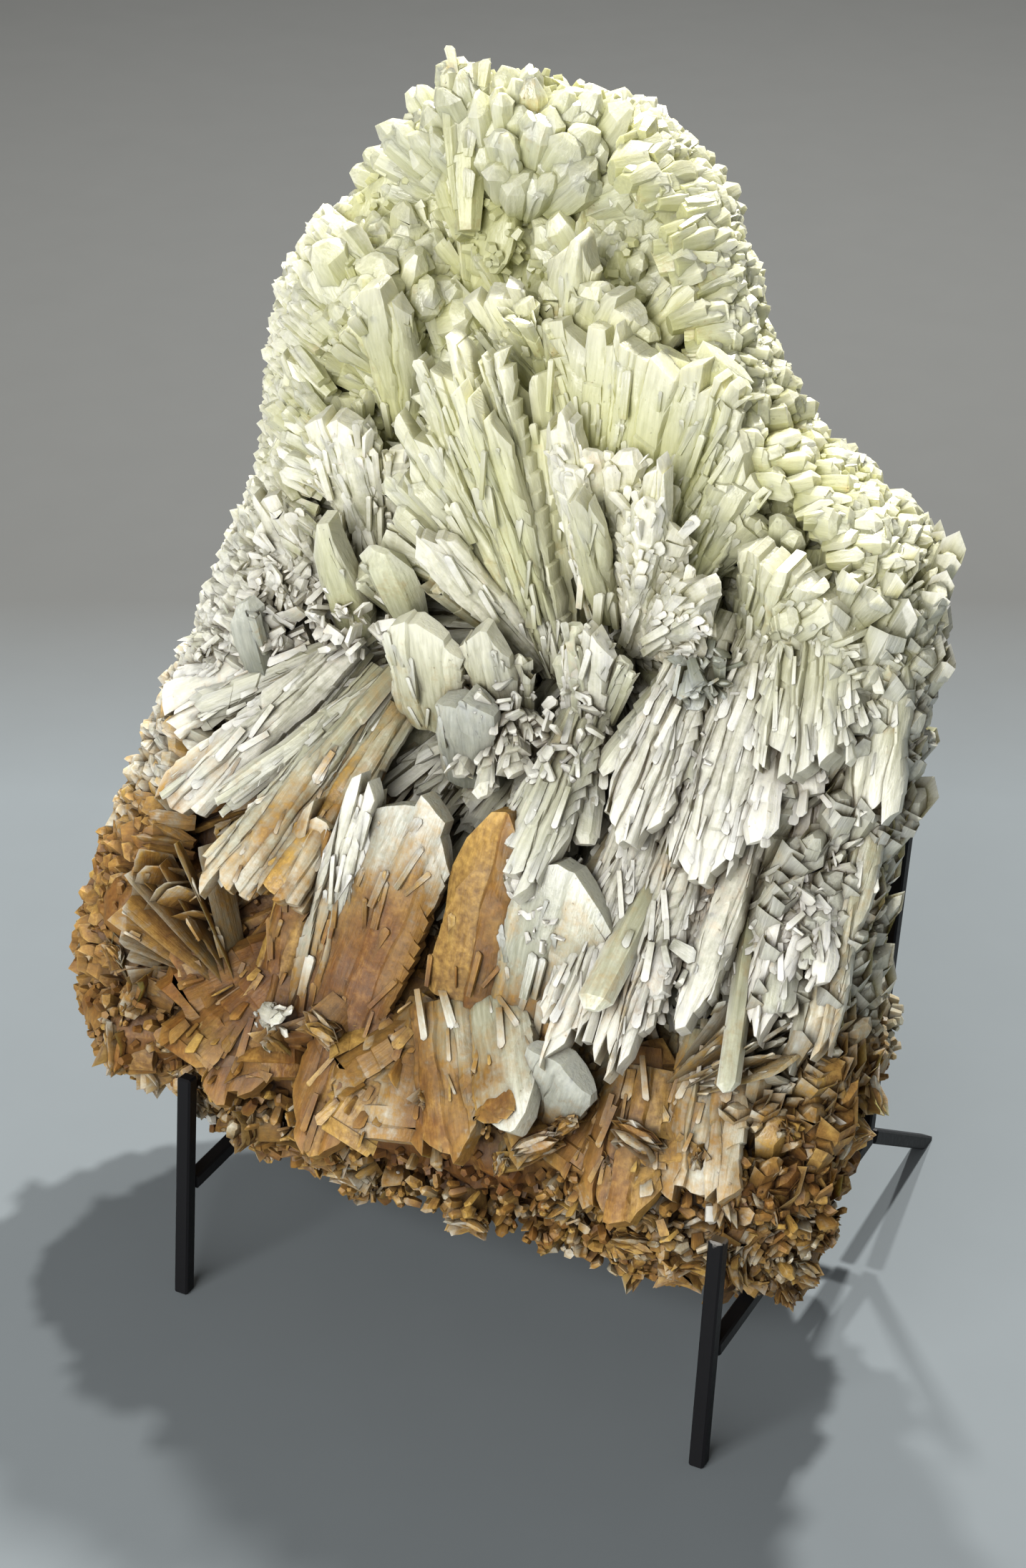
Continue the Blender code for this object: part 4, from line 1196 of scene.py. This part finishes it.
def add_flakes(growth, count, rng):
    """Small broken plates and chunks round the foot of the cluster."""
    for _ in range(count):
        angle = radians(rng.uniform(*FLAKE_ANGLES))
        height = rng.uniform(*FLAKE_HEIGHTS)
        if height > 66 + 34 * noise.noise(Vector((angle * 3, 1, 2))):
            continue
        point, away = base_spot(angle, height, rng.uniform(-2.5, 4))
        way = (away + toss(rng, 0.9)).normalized()
        side = toss(rng, 1)
        size = rng.uniform(*FLAKE_SIZES)
        fresh = rng.random() < FRESH_SHARE
        chunk = rng.random() < CHUNK_SHARE
        growth.add(point - way * size * 0.8, point + way * size * 0.2, side,
                   size * rng.uniform(0.5, 1.0), size * (0.6 if chunk else rng.uniform(0.2, 0.4)),
                   0.8, rng.uniform(0.55, 0.95), 0.0 if fresh else rng.uniform(0.6, 1.0),
                   Tint(0, 0, 1.0 if fresh else 0.1), "knob" if chunk else "chip")


def add_rosettes(growth, count, rng):
    """Plates that stand in a bunch round one point, like the petals of a rose."""
    for number in range(count):
        angle = radians(174 + 190 * ((number * 0.618) % 1))
        low, high = FLAKE_HEIGHTS
        height = low + 4 + (high - low - 12) * ((number * 0.7549 + 0.3) % 1)
        point, away = base_spot(angle, height, 1.0)
        size = rng.uniform(*ROSETTE_SIZES)
        droop = 1.2 * (1 - smooth(34, 48, height))
        main = away + Vector((rng.uniform(-0.5, 0.5), 0, rng.uniform(-0.6, 0.5) - droop))
        first = main.cross(toss(rng, 1)).normalized()
        for plate in range(ROSETTE_PLATES):
            lean = (2 * plate / (ROSETTE_PLATES - 1) - 1) * rng.uniform(0.8, 1.1)
            way = (main + first * lean + toss(rng, 0.25)).normalized()
            reach = size * (1 - 0.3 * lean * lean) * rng.uniform(0.75, 1.0)
            growth.add(point - way * size * 0.6, point + way * reach * 0.32,
                       way.cross(first) + first * rng.uniform(-0.35, 0.35),
                       size * rng.uniform(0.6, 1.0), size * rng.uniform(0.14, 0.26), 0.7,
                       rng.uniform(0.5, 0.85), rng.uniform(0.55, 1.0), Tint(0, 0.0, 0.15), "fin")


base = Growth("base_flakes", 8)
add_flakes(base, FLAKES, random.Random(41))
add_rosettes(base, ROSETTES, random.Random(42))
crystal_pieces = [g.build() for g in (crown, centre, right, middle, low, flanks, back, base)]

# %% [markdown]
# Under the crystals lies solid rock. It is lofted through the same sections, a little inside
# them, and roughened by noise at three sizes, so that what shows between the blades is lumpy
# rather than smooth. Its finish paints it dark, with the painted shade of a blade's root.

# %% Rings of the rock body
BODY_AROUND = 180
BODY_STEP = 3.2
FRONT_INSET = 22.0
BASE_INSET = 7.0
SIDE_INSET = 6.0
BASE_ROUGHNESS = 1.1
BASE_TOP = (70, 100)
FRONT_TURN = (0.2, 0.8)

def body_ring(height):
    """One ring of the rock body, with its roughness."""
    ring = []
    for i in range(BODY_AROUND):
        angle = 2 * pi * i / BODY_AROUND
        to_front = smooth(*FRONT_TURN, -sin(angle))
        front = BASE_INSET + (FRONT_INSET - BASE_INSET) * smooth(70, 110, height)
        inset = SIDE_INSET + (front - SIDE_INSET) * to_front
        point = outline_point(height, angle, inset)
        sunk = PIT_DEPTH * pit_at(point.x, height) * to_front
        lumpy = 1 + BASE_ROUGHNESS * (1 - smooth(*BASE_TOP, height))
        ring.append(point + way_out(point) * (rough(point, lumpy) - sunk))
    return ring


print("corners of a ring:", len(body_ring(100)))

# %% [markdown]
# The rings are joined to one closed mesh. Three smaller rings and a middle point dome it over
# at both ends. The rock has the same attributes as the crystals, so the same finish fits it.

# %% Rock body
CAP_SHARES = (0.75, 0.5, 0.25)
CAP_RISE = 1.2


def rock_body():
    """The rock body as one closed mesh, domed over at the top and bottom."""
    low_height, high_height = SECTIONS[0].height, SECTIONS[-1].height - 8
    steps = round((high_height - low_height) / BODY_STEP)
    rings = [body_ring(low_height + (high_height - low_height) * k / steps)
             for k in range(steps + 1)]
    for before, share in zip((1.0, *CAP_SHARES), CAP_SHARES):
        for end, rise in ((0, -1.0), (-1, 1.0)):
            source = rings[end]
            centre_point = sum(source, Vector()) / len(source)
            ring = []
            for point in source:
                moved = centre_point.lerp(point, share / before)
                moved.z += rise * CAP_RISE + rough(moved) * 0.35
                ring.append(moved)
            rings.insert(0 if end == 0 else len(rings), ring)
    points = [p for ring in rings for p in ring]
    faces = ring_quads(len(rings), BODY_AROUND)
    last = (len(rings) - 1) * BODY_AROUND
    for first, flip in ((0, True), (last, False)):
        middle_point = sum(points[first:first + BODY_AROUND], Vector()) / BODY_AROUND
        points.append(middle_point)
        for i in range(BODY_AROUND):
            j = (i + 1) % BODY_AROUND
            corner = (first + i, first + j, len(points) - 1)
            faces.append(tuple(reversed(corner)) if flip else corner)
    return points, faces


def from_faces(name, points, faces, tint, along=0.3):
    """Mesh object of rock, with the same attributes as the crystals."""
    loops = np.array([i for face in faces for i in face])
    sizes = np.array([len(face) for face in faces])
    made = mesh_object(name, np.array([tuple(p) for p in points]), loops, sizes)
    # The rock counts as near a blade's root, so the finish gives it the darker root colours:
    # painted shade.
    store(made, "growth", [(along, 0.5 + 0.5 * noise.noise(p / 6.0), stain_at(p)) for p in points])
    store(made, "tint", [tint for _ in points])
    store(made, "grain", [tuple(p) for p in points])
    store(made, "edge", [(0.5, 0.5 + 0.5 * noise.noise(p / 4.0), 0) for p in points])
    print(name, triangles(made), "triangles")
    return made


rock = from_faces("rock_body", *rock_body(), Tint(0.05, 0.3, 0.15))

# %% [markdown]
# The stained base bulges in rounder lumps. They are rough spheres that sink into the rock, all
# in one mesh.

# %% Lumps of the stained base
Lump = namedtuple("Lump", "centre radii")
LUMPS = (
    Lump((-96, 30, 64), (28, 22, 16)), Lump((-106, 50, 90), (17, 28, 18)),
    Lump((-102, 84, 122), (18, 26, 26)), Lump((82, 74, 80), (9, 22, 26)),
    Lump((0, 60, 33), (50, 26, 9)))
LUMP_ROUND = 40
LUMP_INSET = 3.0


def lump_mesh(lump, first):
    """Points and faces of one lump, a rough sphere of rings between two poles."""
    rows = LUMP_ROUND // 2
    centre_point = Vector(lump.centre)
    points = []
    for row in range(rows + 1):
        polar = pi * row / rows
        for i in range(LUMP_ROUND if 0 < row < rows else 1):
            turn = 2 * pi * i / LUMP_ROUND
            ray = Vector((sin(polar) * cos(turn), sin(polar) * sin(turn), cos(polar)))
            place = centre_point + Vector([r * (size - LUMP_INSET)
                                           for r, size in zip(ray, lump.radii)])
            points.append(place + ray * rough(place, 0.9))
    faces = []
    for i in range(LUMP_ROUND):
        j = (i + 1) % LUMP_ROUND
        faces.append((0, 1 + i, 1 + j))
        bottom = 1 + (rows - 2) * LUMP_ROUND
        faces.append((len(points) - 1, bottom + j, bottom + i))
        for row in range(rows - 2):
            a, b = 1 + row * LUMP_ROUND, 1 + (row + 1) * LUMP_ROUND
            faces.append((a + i, b + i, b + j, a + j))
    return points, [tuple(first + k for k in face) for face in faces]


lump_points, lump_faces = [], []
for lump in LUMPS:
    points, faces = lump_mesh(lump, len(lump_points))
    lump_points += points
    lump_faces += faces
lumps = from_faces("base_lumps", lump_points, lump_faces, Tint(0, 0.05, 0.1), 0.6)

# %% [markdown]
# Now the finishes. Shader maths is easier to read as plain sums, so one small class wraps a
# socket and turns Python's operators into Math nodes.

# %% Sums in a material
class Wire:
    """A number that flows through a material, ready for plain arithmetic."""

    def __init__(self, paint, socket):
        self.paint = paint
        self.socket = socket

    def math(self, operation, first, second):
        """Result of one sum."""
        return self.paint.node("ShaderNodeMath", {"operation": operation}, {0: first, 1: second})

    def __add__(self, other):
        return self.math("ADD", self, other)

    __radd__ = __add__

    def __sub__(self, other):
        return self.math("SUBTRACT", self, other)

    def __rsub__(self, other):
        return self.math("SUBTRACT", other, self)

    def __mul__(self, other):
        return self.math("MULTIPLY", self, other)

    def __truediv__(self, other):
        return self.math("DIVIDE", self, other)

    def clamp(self):
        """The number, kept between 0 and 1."""
        return self.math("MAXIMUM", self.math("MINIMUM", self, 1.0), 0.0)

    def step(self, low, high):
        """0 below low, 1 above high, straight between."""
        return ((self - low) / (high - low)).clamp()


print("a wire also knows:", ", ".join(name for name in vars(Wire) if name[0] != "_"))

# %% [markdown]
# Any other node comes from one method of the paint box, which sets the node's own settings
# first and its sockets after. The box also knows how to read an attribute, to measure in
# millimetres, to make noise of a given size and to mix colours.

# %% Paint box
class Paint:
    """One material, with its nodes made by one method."""

    def __init__(self, name, **constants):
        self.material = bpy.data.materials.new(name)
        self.material.use_nodes = True
        self.tree = self.material.node_tree
        self.shader = self.tree.nodes["Principled BSDF"]
        for socket, value in constants.items():
            self.shader.inputs[socket.replace("_", " ")].default_value = value

    def put(self, socket, value):
        """Lead a wire into a socket, or set its value."""
        if isinstance(value, Wire):
            self.tree.links.new(value.socket, socket)
        else:
            socket.default_value = value

    def node(self, kind, settings=None, sockets=None, output=0):
        """A new node with its settings and sockets; gives one of its outputs."""
        made = self.tree.nodes.new(kind)
        for key, value in (settings or {}).items():
            setattr(made, key, value)
        for key, value in (sockets or {}).items():
            self.put(made.inputs[key], value)
        return Wire(self, made.outputs[output])

    def attribute(self, name):
        """The three numbers of a vector attribute, and the attribute as a whole."""
        found = self.node("ShaderNodeAttribute", {"attribute_name": name}, output="Vector")
        split = self.node("ShaderNodeSeparateXYZ", sockets={0: found})
        return [Wire(self, out) for out in split.socket.node.outputs], found

    def stretch(self, vector, factors):
        """A vector multiplied part by part."""
        return self.node("ShaderNodeVectorMath", {"operation": "MULTIPLY"},
                         {0: vector, 1: factors})

    def place(self):
        """Object coordinates in millimetres."""
        return self.stretch(self.node("ShaderNodeTexCoord", output="Object"), (1 / MM,) * 3)

    def noise(self, vector, size, detail, rough_share=0.55):
        """Noise from 0 to 1 whose patches are about a size across."""
        return self.node("ShaderNodeTexNoise", None, {"Vector": vector, "Scale": 1 / size,
                         "Detail": detail, "Roughness": rough_share})

    def mix(self, share, first, second, blend="MIX"):
        """Colour between two colours."""
        return self.node("ShaderNodeMix", {"data_type": "RGBA", "blend_type": blend},
                         {0: share, 6: first, 7: second}, output=2)

    def darken(self, colour, shade):
        """A colour multiplied by a plain number."""
        grey = self.node("ShaderNodeCombineColor", None, {0: shade, 1: shade, 2: shade})
        return self.mix(1.0, colour, grey, "MULTIPLY")

    def finish(self, colour, roughness=None, metallic=None, height=None, bump=0, distance=0):
        """The material, with what was made put into its shader."""
        for socket, value in (("Base Color", colour), ("Roughness", roughness),
                              ("Metallic", metallic)):
            if value is not None:
                self.put(self.shader.inputs[socket], value)
        if height is not None:
            normal = self.node("ShaderNodeBump", None, {"Height": height, "Strength": bump,
                               "Distance": distance * MM})
            self.put(self.shader.inputs["Normal"], normal)
        return self.material


print("a paint box can:", ", ".join(name for name in vars(Paint) if name[0] != "_"))

# %% [markdown]
# Barite is translucent, and the finish stands in for light through it with painted shade and
# glow: a blade is painted greener and darker deep towards its root, and lighter towards its tip
# and its edges. From the top down the colour goes from pale green-yellow through frosted white
# to rust. The place gives the broad zones, the crystal's own attributes give stain, grey glass,
# clear green and frost, and noise stretched along the crystal gives the fine ribs. Two ambient
# occlusion nodes paint shade into the hollows, dark brown low down and faint at the top.

# %% The barite finish
LIT_TIP_COLOUR = (0.665, 0.66, 0.515, 1)
SHADED_ROOT_COLOUR = (0.50, 0.50, 0.28, 1)
LIT_WHITE_TIP = (0.77, 0.765, 0.65, 1)
SHADED_WHITE_ROOT = (0.32, 0.31, 0.21, 1)
FROST_COLOUR = (0.90, 0.88, 0.78, 1)
GREY_COLOUR = (0.20, 0.24, 0.25, 1)
GREEN_COLOUR = (0.62, 0.64, 0.34, 1)
CREAM_COLOUR = (0.60, 0.38, 0.10, 1)
TAN_COLOUR = (0.47, 0.27, 0.055, 1)
RUST_COLOUR = (0.25, 0.088, 0.004, 1)
UMBER_COLOUR = (0.055, 0.027, 0.010, 1)
DIRT_COLOUR = (0.05, 0.04, 0.02, 1)
UPPER_SHADE = (0.90, 0.89, 0.66, 1)
LOWER_SHADE = (0.11, 0.075, 0.032, 1)
NEAR_SHADE = 0.004
FAR_SHADE = 0.022
UPPER_ZONE = (165, 222)
BIG_PATCH = 16.0
CRUMB = 2.2
SPECK = 1.1


def barite():
    """Finish for every crystal and for the rock under them."""
    paint = Paint("barite", Subsurface_Weight=0.35, Subsurface_Radius=(1.0, 0.92, 0.6),
                  Subsurface_Scale=0.004, IOR=1.6, Specular_IOR_Level=0.4)
    where = paint.place()
    (along, tone, stain), _ = paint.attribute("growth")
    (grey, green, frost), _ = paint.attribute("tint")
    (rim, scale_tone, _), _ = paint.attribute("edge")
    _, grain = paint.attribute("grain")
    height = paint.node("ShaderNodeSeparateXYZ", None, {0: where}, output="Z")
    patches = paint.noise(where, BIG_PATCH, 3.0)
    crumbs = paint.noise(where, CRUMB, 3.0, 0.65)
    ribs = paint.noise(paint.stretch(grain, (1.1, 1.1, 0.09)), 1.0, 3.0)
    upper = (height + (patches - 0.5) * 50).step(*UPPER_ZONE)
    # Painted shade and glow: deep is 0 at a blade's root and 1 at its tip and edges, and picks the
    # darker root colours at the root and the lighter tip colours at the tip.
    deep = (along * 0.75 + rim * 0.35 + (ribs - 0.5) * 0.6).step(0.25, 0.95)
    clean = paint.mix(deep, paint.mix(upper, SHADED_WHITE_ROOT, SHADED_ROOT_COLOUR),
                      paint.mix(upper, LIT_WHITE_TIP, LIT_TIP_COLOUR))
    clean = paint.mix((green * (1.1 - rim) * (0.3 + patches)).clamp(), clean, GREEN_COLOUR)
    clean = paint.mix((grey * (0.5 + crumbs)).clamp(), clean, GREY_COLOUR)
    white = (frost * 1.3 + crumbs + patches * 0.8 + rim * 0.3 - 1.55).step(0.0, 0.7)
    clean = paint.mix(white * frost.step(0.0, 0.3), clean, FROST_COLOUR)
    rusty = paint.mix((patches * 2.6 + tone * 0.6 + stain * 1.6 - 2.3).clamp(), TAN_COLOUR,
                      RUST_COLOUR)
    rusty = paint.mix((tone * 2.2 + crumbs * 1.2 - 2.0).clamp(), rusty, CREAM_COLOUR)
    rusty = paint.mix((along * rim * 0.35 + (ribs - 0.5) * 0.4).clamp(), rusty, CREAM_COLOUR)
    rusty = paint.mix((1.25 - crumbs * 1.2 - rim * 0.2 - along * 0.35).clamp(), rusty, UMBER_COLOUR)
    cover = stain * 1.65 + (crumbs - 0.5) * 1.1 + (patches - 0.5) * 1.3 + (tone - 0.5) * 0.5
    cover = (cover - along * rim * 0.45).step(0.15, 1.0)
    colour = paint.mix(cover, clean, rusty)
    specks = paint.noise(where, SPECK, 1.0).step(0.72, 0.78) * patches.step(0.45, 0.7)
    colour = paint.mix(specks * 0.7, colour, DIRT_COLOUR)
    shade = 0.80 + tone * 0.22 + scale_tone * 0.05 + (ribs - 0.5) * 0.35
    colour = paint.darken(colour, shade)
    # Painted shade: two ambient occlusion nodes darken the hollows, towards dark brown in the lower
    # part and only faintly in the upper part.
    near, far = (paint.node("ShaderNodeAmbientOcclusion", {"samples": 1}, {"Distance": reach},
                            output="AO") for reach in (NEAR_SHADE, FAR_SHADE))
    open_share = near.step(0.1, 0.9) * 0.45 + far.step(0.10, 0.62) * 0.55
    hollow_shade = paint.mix(1.0, colour, paint.mix(upper, LOWER_SHADE, UPPER_SHADE), "MULTIPLY")
    colour = paint.mix(open_share, hollow_shade, colour)
    gloss = 0.27 + frost * 0.3 + cover * 0.3 - tone.step(0.9, 0.95) * 0.22
    return paint.finish(colour, gloss, height=ribs + crumbs * 0.8, bump=0.45, distance=0.5)


barite_finish = barite()
print("barite nodes:", len(barite_finish.node_tree.nodes))

# %% [markdown]
# A fine sugar of tiny crystals coats the rock and the lumps. Thousands of small repeats are a
# job for Geometry Nodes: points are scattered over the skin, each gets a little prism turned to
# the skin's normal, and the result is made real and given the barite finish.

# %% Sugar coat with Geometry Nodes
PRISM_SHAPE = {"Vertices": 5, "Radius Top": 0.34, "Radius Bottom": 0.5, "Depth": 0.85}
PRISM_LEAN = 0.8


def sugar_tree():
    """Tree that coats a mesh with small prisms."""
    tree = bpy.data.node_groups.new("sugar_coat", "GeometryNodeTree")
    for name, kind in (("Geometry", "Geometry"), ("Density", "Float"), ("Smallest", "Float"),
                       ("Largest", "Float"), ("Seed", "Int"), ("Finish", "Material")):
        tree.interface.new_socket(name, in_out="INPUT", socket_type="NodeSocket" + kind)
    tree.interface.new_socket("Geometry", in_out="OUTPUT", socket_type="NodeSocketGeometry")

    def node(kind, sockets, output=0, **settings):
        """A new node with its settings and sockets; gives one of its outputs."""
        made = tree.nodes.new(kind)
        for key, value in settings.items():
            setattr(made, key, value)
        for key, value in sockets.items():
            if isinstance(value, bpy.types.NodeSocket):
                tree.links.new(value, made.inputs[key])
            else:
                made.inputs[key].default_value = value
        return made.outputs[output] if made.outputs else made

    given = tree.nodes.new("NodeGroupInput").outputs
    seed = {"Seed": given["Seed"]}
    points = node("GeometryNodeDistributePointsOnFaces",
                  {"Mesh": given["Geometry"], "Density": given["Density"], **seed}, "Points")
    prism = node("GeometryNodeMeshCone", PRISM_SHAPE, "Mesh", fill_type="NGON")
    lean = node("FunctionNodeRandomValue", {"Min": (-PRISM_LEAN, -PRISM_LEAN, 0.0),
                "Max": (PRISM_LEAN, PRISM_LEAN, 6.28), **seed}, "Value", data_type="FLOAT_VECTOR")
    turn = node("FunctionNodeEulerToRotation", {"Euler": lean}, "Rotation")
    turned = node("FunctionNodeRotateRotation", {"Rotation": points.node.outputs["Rotation"],
                  "Rotate By": turn}, "Rotation", rotation_space="LOCAL")
    size = node("FunctionNodeRandomValue", {2: given["Smallest"], 3: given["Largest"], **seed}, 1,
                data_type="FLOAT")
    placed = node("GeometryNodeInstanceOnPoints", {"Points": points, "Instance": prism,
                  "Rotation": turned, "Scale": size}, "Instances")
    real = node("GeometryNodeRealizeInstances", {"Geometry": placed})
    painted = node("GeometryNodeSetMaterial", {"Geometry": real, "Material": given["Finish"]})
    node("NodeGroupOutput", {"Geometry": painted})
    return tree


SUGAR = sugar_tree()
print("nodes of the sugar coat:", len(SUGAR.nodes))

# %% [markdown]
# The tree runs on a carrier object that shares the skin's mesh, and its result is kept as a
# plain mesh. The prisms inherit stain and tint from the skin they sit on.

# %% Sugar on the rock and the lumps
def coat(skin, name, density, sizes, seed):
    """Sugar on one piece, as a plain mesh of its own."""
    carrier = add_object("carrier_of_" + name, skin.data)
    step = carrier.modifiers.new("sugar", "NODES")
    step.node_group = SUGAR
    values = {"Density": density, "Smallest": sizes[0] * MM, "Largest": sizes[1] * MM,
              "Seed": seed, "Finish": barite_finish}
    for item in SUGAR.interface.items_tree:
        if item.in_out == "INPUT" and item.name in values:
            step[item.identifier] = values[item.name]
    evaluated = carrier.evaluated_get(bpy.context.evaluated_depsgraph_get())
    mesh = bpy.data.meshes.new_from_object(evaluated)
    carrier.modifiers.clear()
    bpy.data.objects.remove(carrier)
    made = add_object(name, mesh)
    print(name, triangles(made), "triangles")
    return made


rock_sugar = coat(rock, "rock_sugar", 40000, (1.6, 3.6), 5)
lump_sugar = coat(lumps, "lump_sugar", 60000, (1.4, 3.6), 6)

# %% [markdown]
# All of these pieces stand for the one CAD node of the cluster, and ride with the body. The
# crystals keep their sharp edges; only the rock and its lumps are shaded smooth all over.

# %% Dress the cluster
cluster_pieces = [*crystal_pieces, rock, lumps, rock_sugar, lump_sugar]
for piece in cluster_pieces:
    piece.data.materials.clear()
    piece.data.materials.append(barite_finish)
    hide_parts("barite_cluster")
    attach(piece, "root")
for piece in (rock, lumps):
    piece.data.shade_smooth()
print("triangles of the cluster:", sum(triangles(p) for p in cluster_pieces))

# %% [markdown]
# The stand is square bar with black satin paint. The CAD bars keep their shape. The paint is
# slightly uneven, and the cut end of the right front post has lost it, so bare steel shows.

# %% Paint of the stand
def black_paint():
    """Satin black, with bare metal on top of the right front post."""
    paint = Paint("black_paint", Specular_IOR_Level=0.12)
    where = paint.place()
    worn_spot = on_post(POST_TOP, 1) + ORIGIN
    reach = paint.node("ShaderNodeVectorMath", {"operation": "DISTANCE"},
                       {0: where, 1: tuple(worn_spot)}, output="Value")
    mottle = paint.noise(where, 1.4, 2.0)
    bare = (reach + (mottle - 0.5) * 1.5).step(2.4, 2.0)
    colour = paint.mix(bare, (0.007, 0.007, 0.008, 1), (0.42, 0.40, 0.37, 1))
    return paint.finish(colour, 0.38 + mottle * 0.18 - bare * 0.1, bare, mottle, 0.2, 0.1)


steel = black_paint()
bars = [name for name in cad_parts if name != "barite_cluster"]
for name in bars:
    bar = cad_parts[name]
    bar.data.materials.clear()
    bar.data.materials.append(steel)
print("painted bars:", len(bars))

# %% [markdown]
# The floor is a plain pale sheet that turns a darker grey behind the object, as in the
# photograph. Two small lamps high up behind the cluster throw its soft shadows forwards, and a
# large one in front and the light of the sky fill the shade.

# %% Floor and light
FLOOR_HALF = 2.6
VIEW_TURN = radians(27.35)
FLOOR_EDGE = (225.0, 380.0)
FLOOR_COLOUR = (0.156, 0.176, 0.188, 1)
BACK_COLOUR = (0.100, 0.103, 0.102, 1)
LAMPS = (
    ("key_behind", (0.0, 0.85, 1.45), (0, 0, 0.1), 0.07, 36, (1, 0.98, 0.94)),
    ("key_left", (-0.35, 0.80, 1.45), (0, 0, 0.1), 0.07, 21, (1, 0.98, 0.94)),
    ("front_fill", (-0.05, -1.6, 0.8), (0, 0, 0.15), 1.3, 46, (1, 0.99, 0.97)))
SKY_STRENGTH = 0.20


def flat_floor():
    """Square floor as one face."""
    mesh = bpy.data.meshes.new("floor")
    mesh.from_pydata([(FLOOR_HALF * x, FLOOR_HALF * y, 0.0)
                      for x, y in ((-1, -1), (1, -1), (1, 1), (-1, 1))], [], [(0, 1, 2, 3)])
    return mesh


def floor_paint():
    """Pale floor that turns grey behind the object."""
    paint = Paint("pale_floor", Roughness=0.85, Specular_IOR_Level=0.1)
    where = paint.place()
    behind = paint.node("ShaderNodeVectorMath", {"operation": "DOT_PRODUCT"},
                        {0: where, 1: (-sin(VIEW_TURN), cos(VIEW_TURN), 0)}, output="Value")
    mottle = paint.noise(where, 30.0, 3.0)
    colour = paint.mix(behind.step(*FLOOR_EDGE), FLOOR_COLOUR, BACK_COLOUR)
    return paint.finish(paint.darken(colour, 0.97 + mottle * 0.06))


def aim(made, place, away):
    """Put a lamp or camera at a place, with its back turned to a direction."""
    made.matrix_world = Matrix.Translation(place) @ away.to_track_quat("Z", "Y").to_matrix(
        ).to_4x4()


floor = add_object("floor", flat_floor())
floor.data.materials.append(floor_paint())
floor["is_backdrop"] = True
for name, place, target, size, power, colour in LAMPS:
    data = bpy.data.lights.new(name, "AREA")
    data.size, data.energy, data.color = size, power, colour
    aim(add_object(name, data), place, Vector(place) - Vector(target))
world = bpy.data.worlds.new("sky")
bpy.context.scene.world = world
world.use_nodes = True
sky = world.node_tree.nodes["Background"].inputs
sky["Color"].default_value = (1.0, 0.99, 0.97, 1)
sky["Strength"].default_value = SKY_STRENGTH
bpy.context.scene.view_settings.view_transform = "Standard"
print("lamps:", len(LAMPS), "floor, m:", 2 * FLOOR_HALF)

# %% [markdown]
# The camera looks down at 29 degrees from the right front, as the photograph was taken, with a
# long lens. Its place was worked out from the stand's feet and bars, and is given in the
# stand's frame like the rest.

# %% Camera
CAMERA_PLACE = Vector((316.71, -567.09, 532.85))
CAMERA_PITCH = radians(29.0)
FOCAL_PIXELS = 4500.0
PHOTO_HEIGHT = 2192.0

camera_data = bpy.data.cameras.new("camera")
camera_data.sensor_width = 36.0
camera_data.lens = FOCAL_PIXELS / PHOTO_HEIGHT * camera_data.sensor_width
camera_data.clip_start = 0.05
camera_data.clip_end = 20.0
camera = add_object("camera", camera_data)
aim(camera, (CAMERA_PLACE + ORIGIN) * MM,
    Vector((sin(VIEW_TURN) * cos(CAMERA_PITCH), -cos(VIEW_TURN) * cos(CAMERA_PITCH),
            sin(CAMERA_PITCH))))
bpy.context.scene.camera = camera
print("camera at", [round(c, 3) for c in camera.location])

# %% [markdown]
# Last, the box of the dressed part is printed beside the box of the CAD part, so the two can be
# compared.

# %% Finish
dressed_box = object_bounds()
for label, box in (("CAD", frame_box), ("dressed", dressed_box)):
    print(label, [tuple(round(c * 1000, 1) for c in v) for v in box])
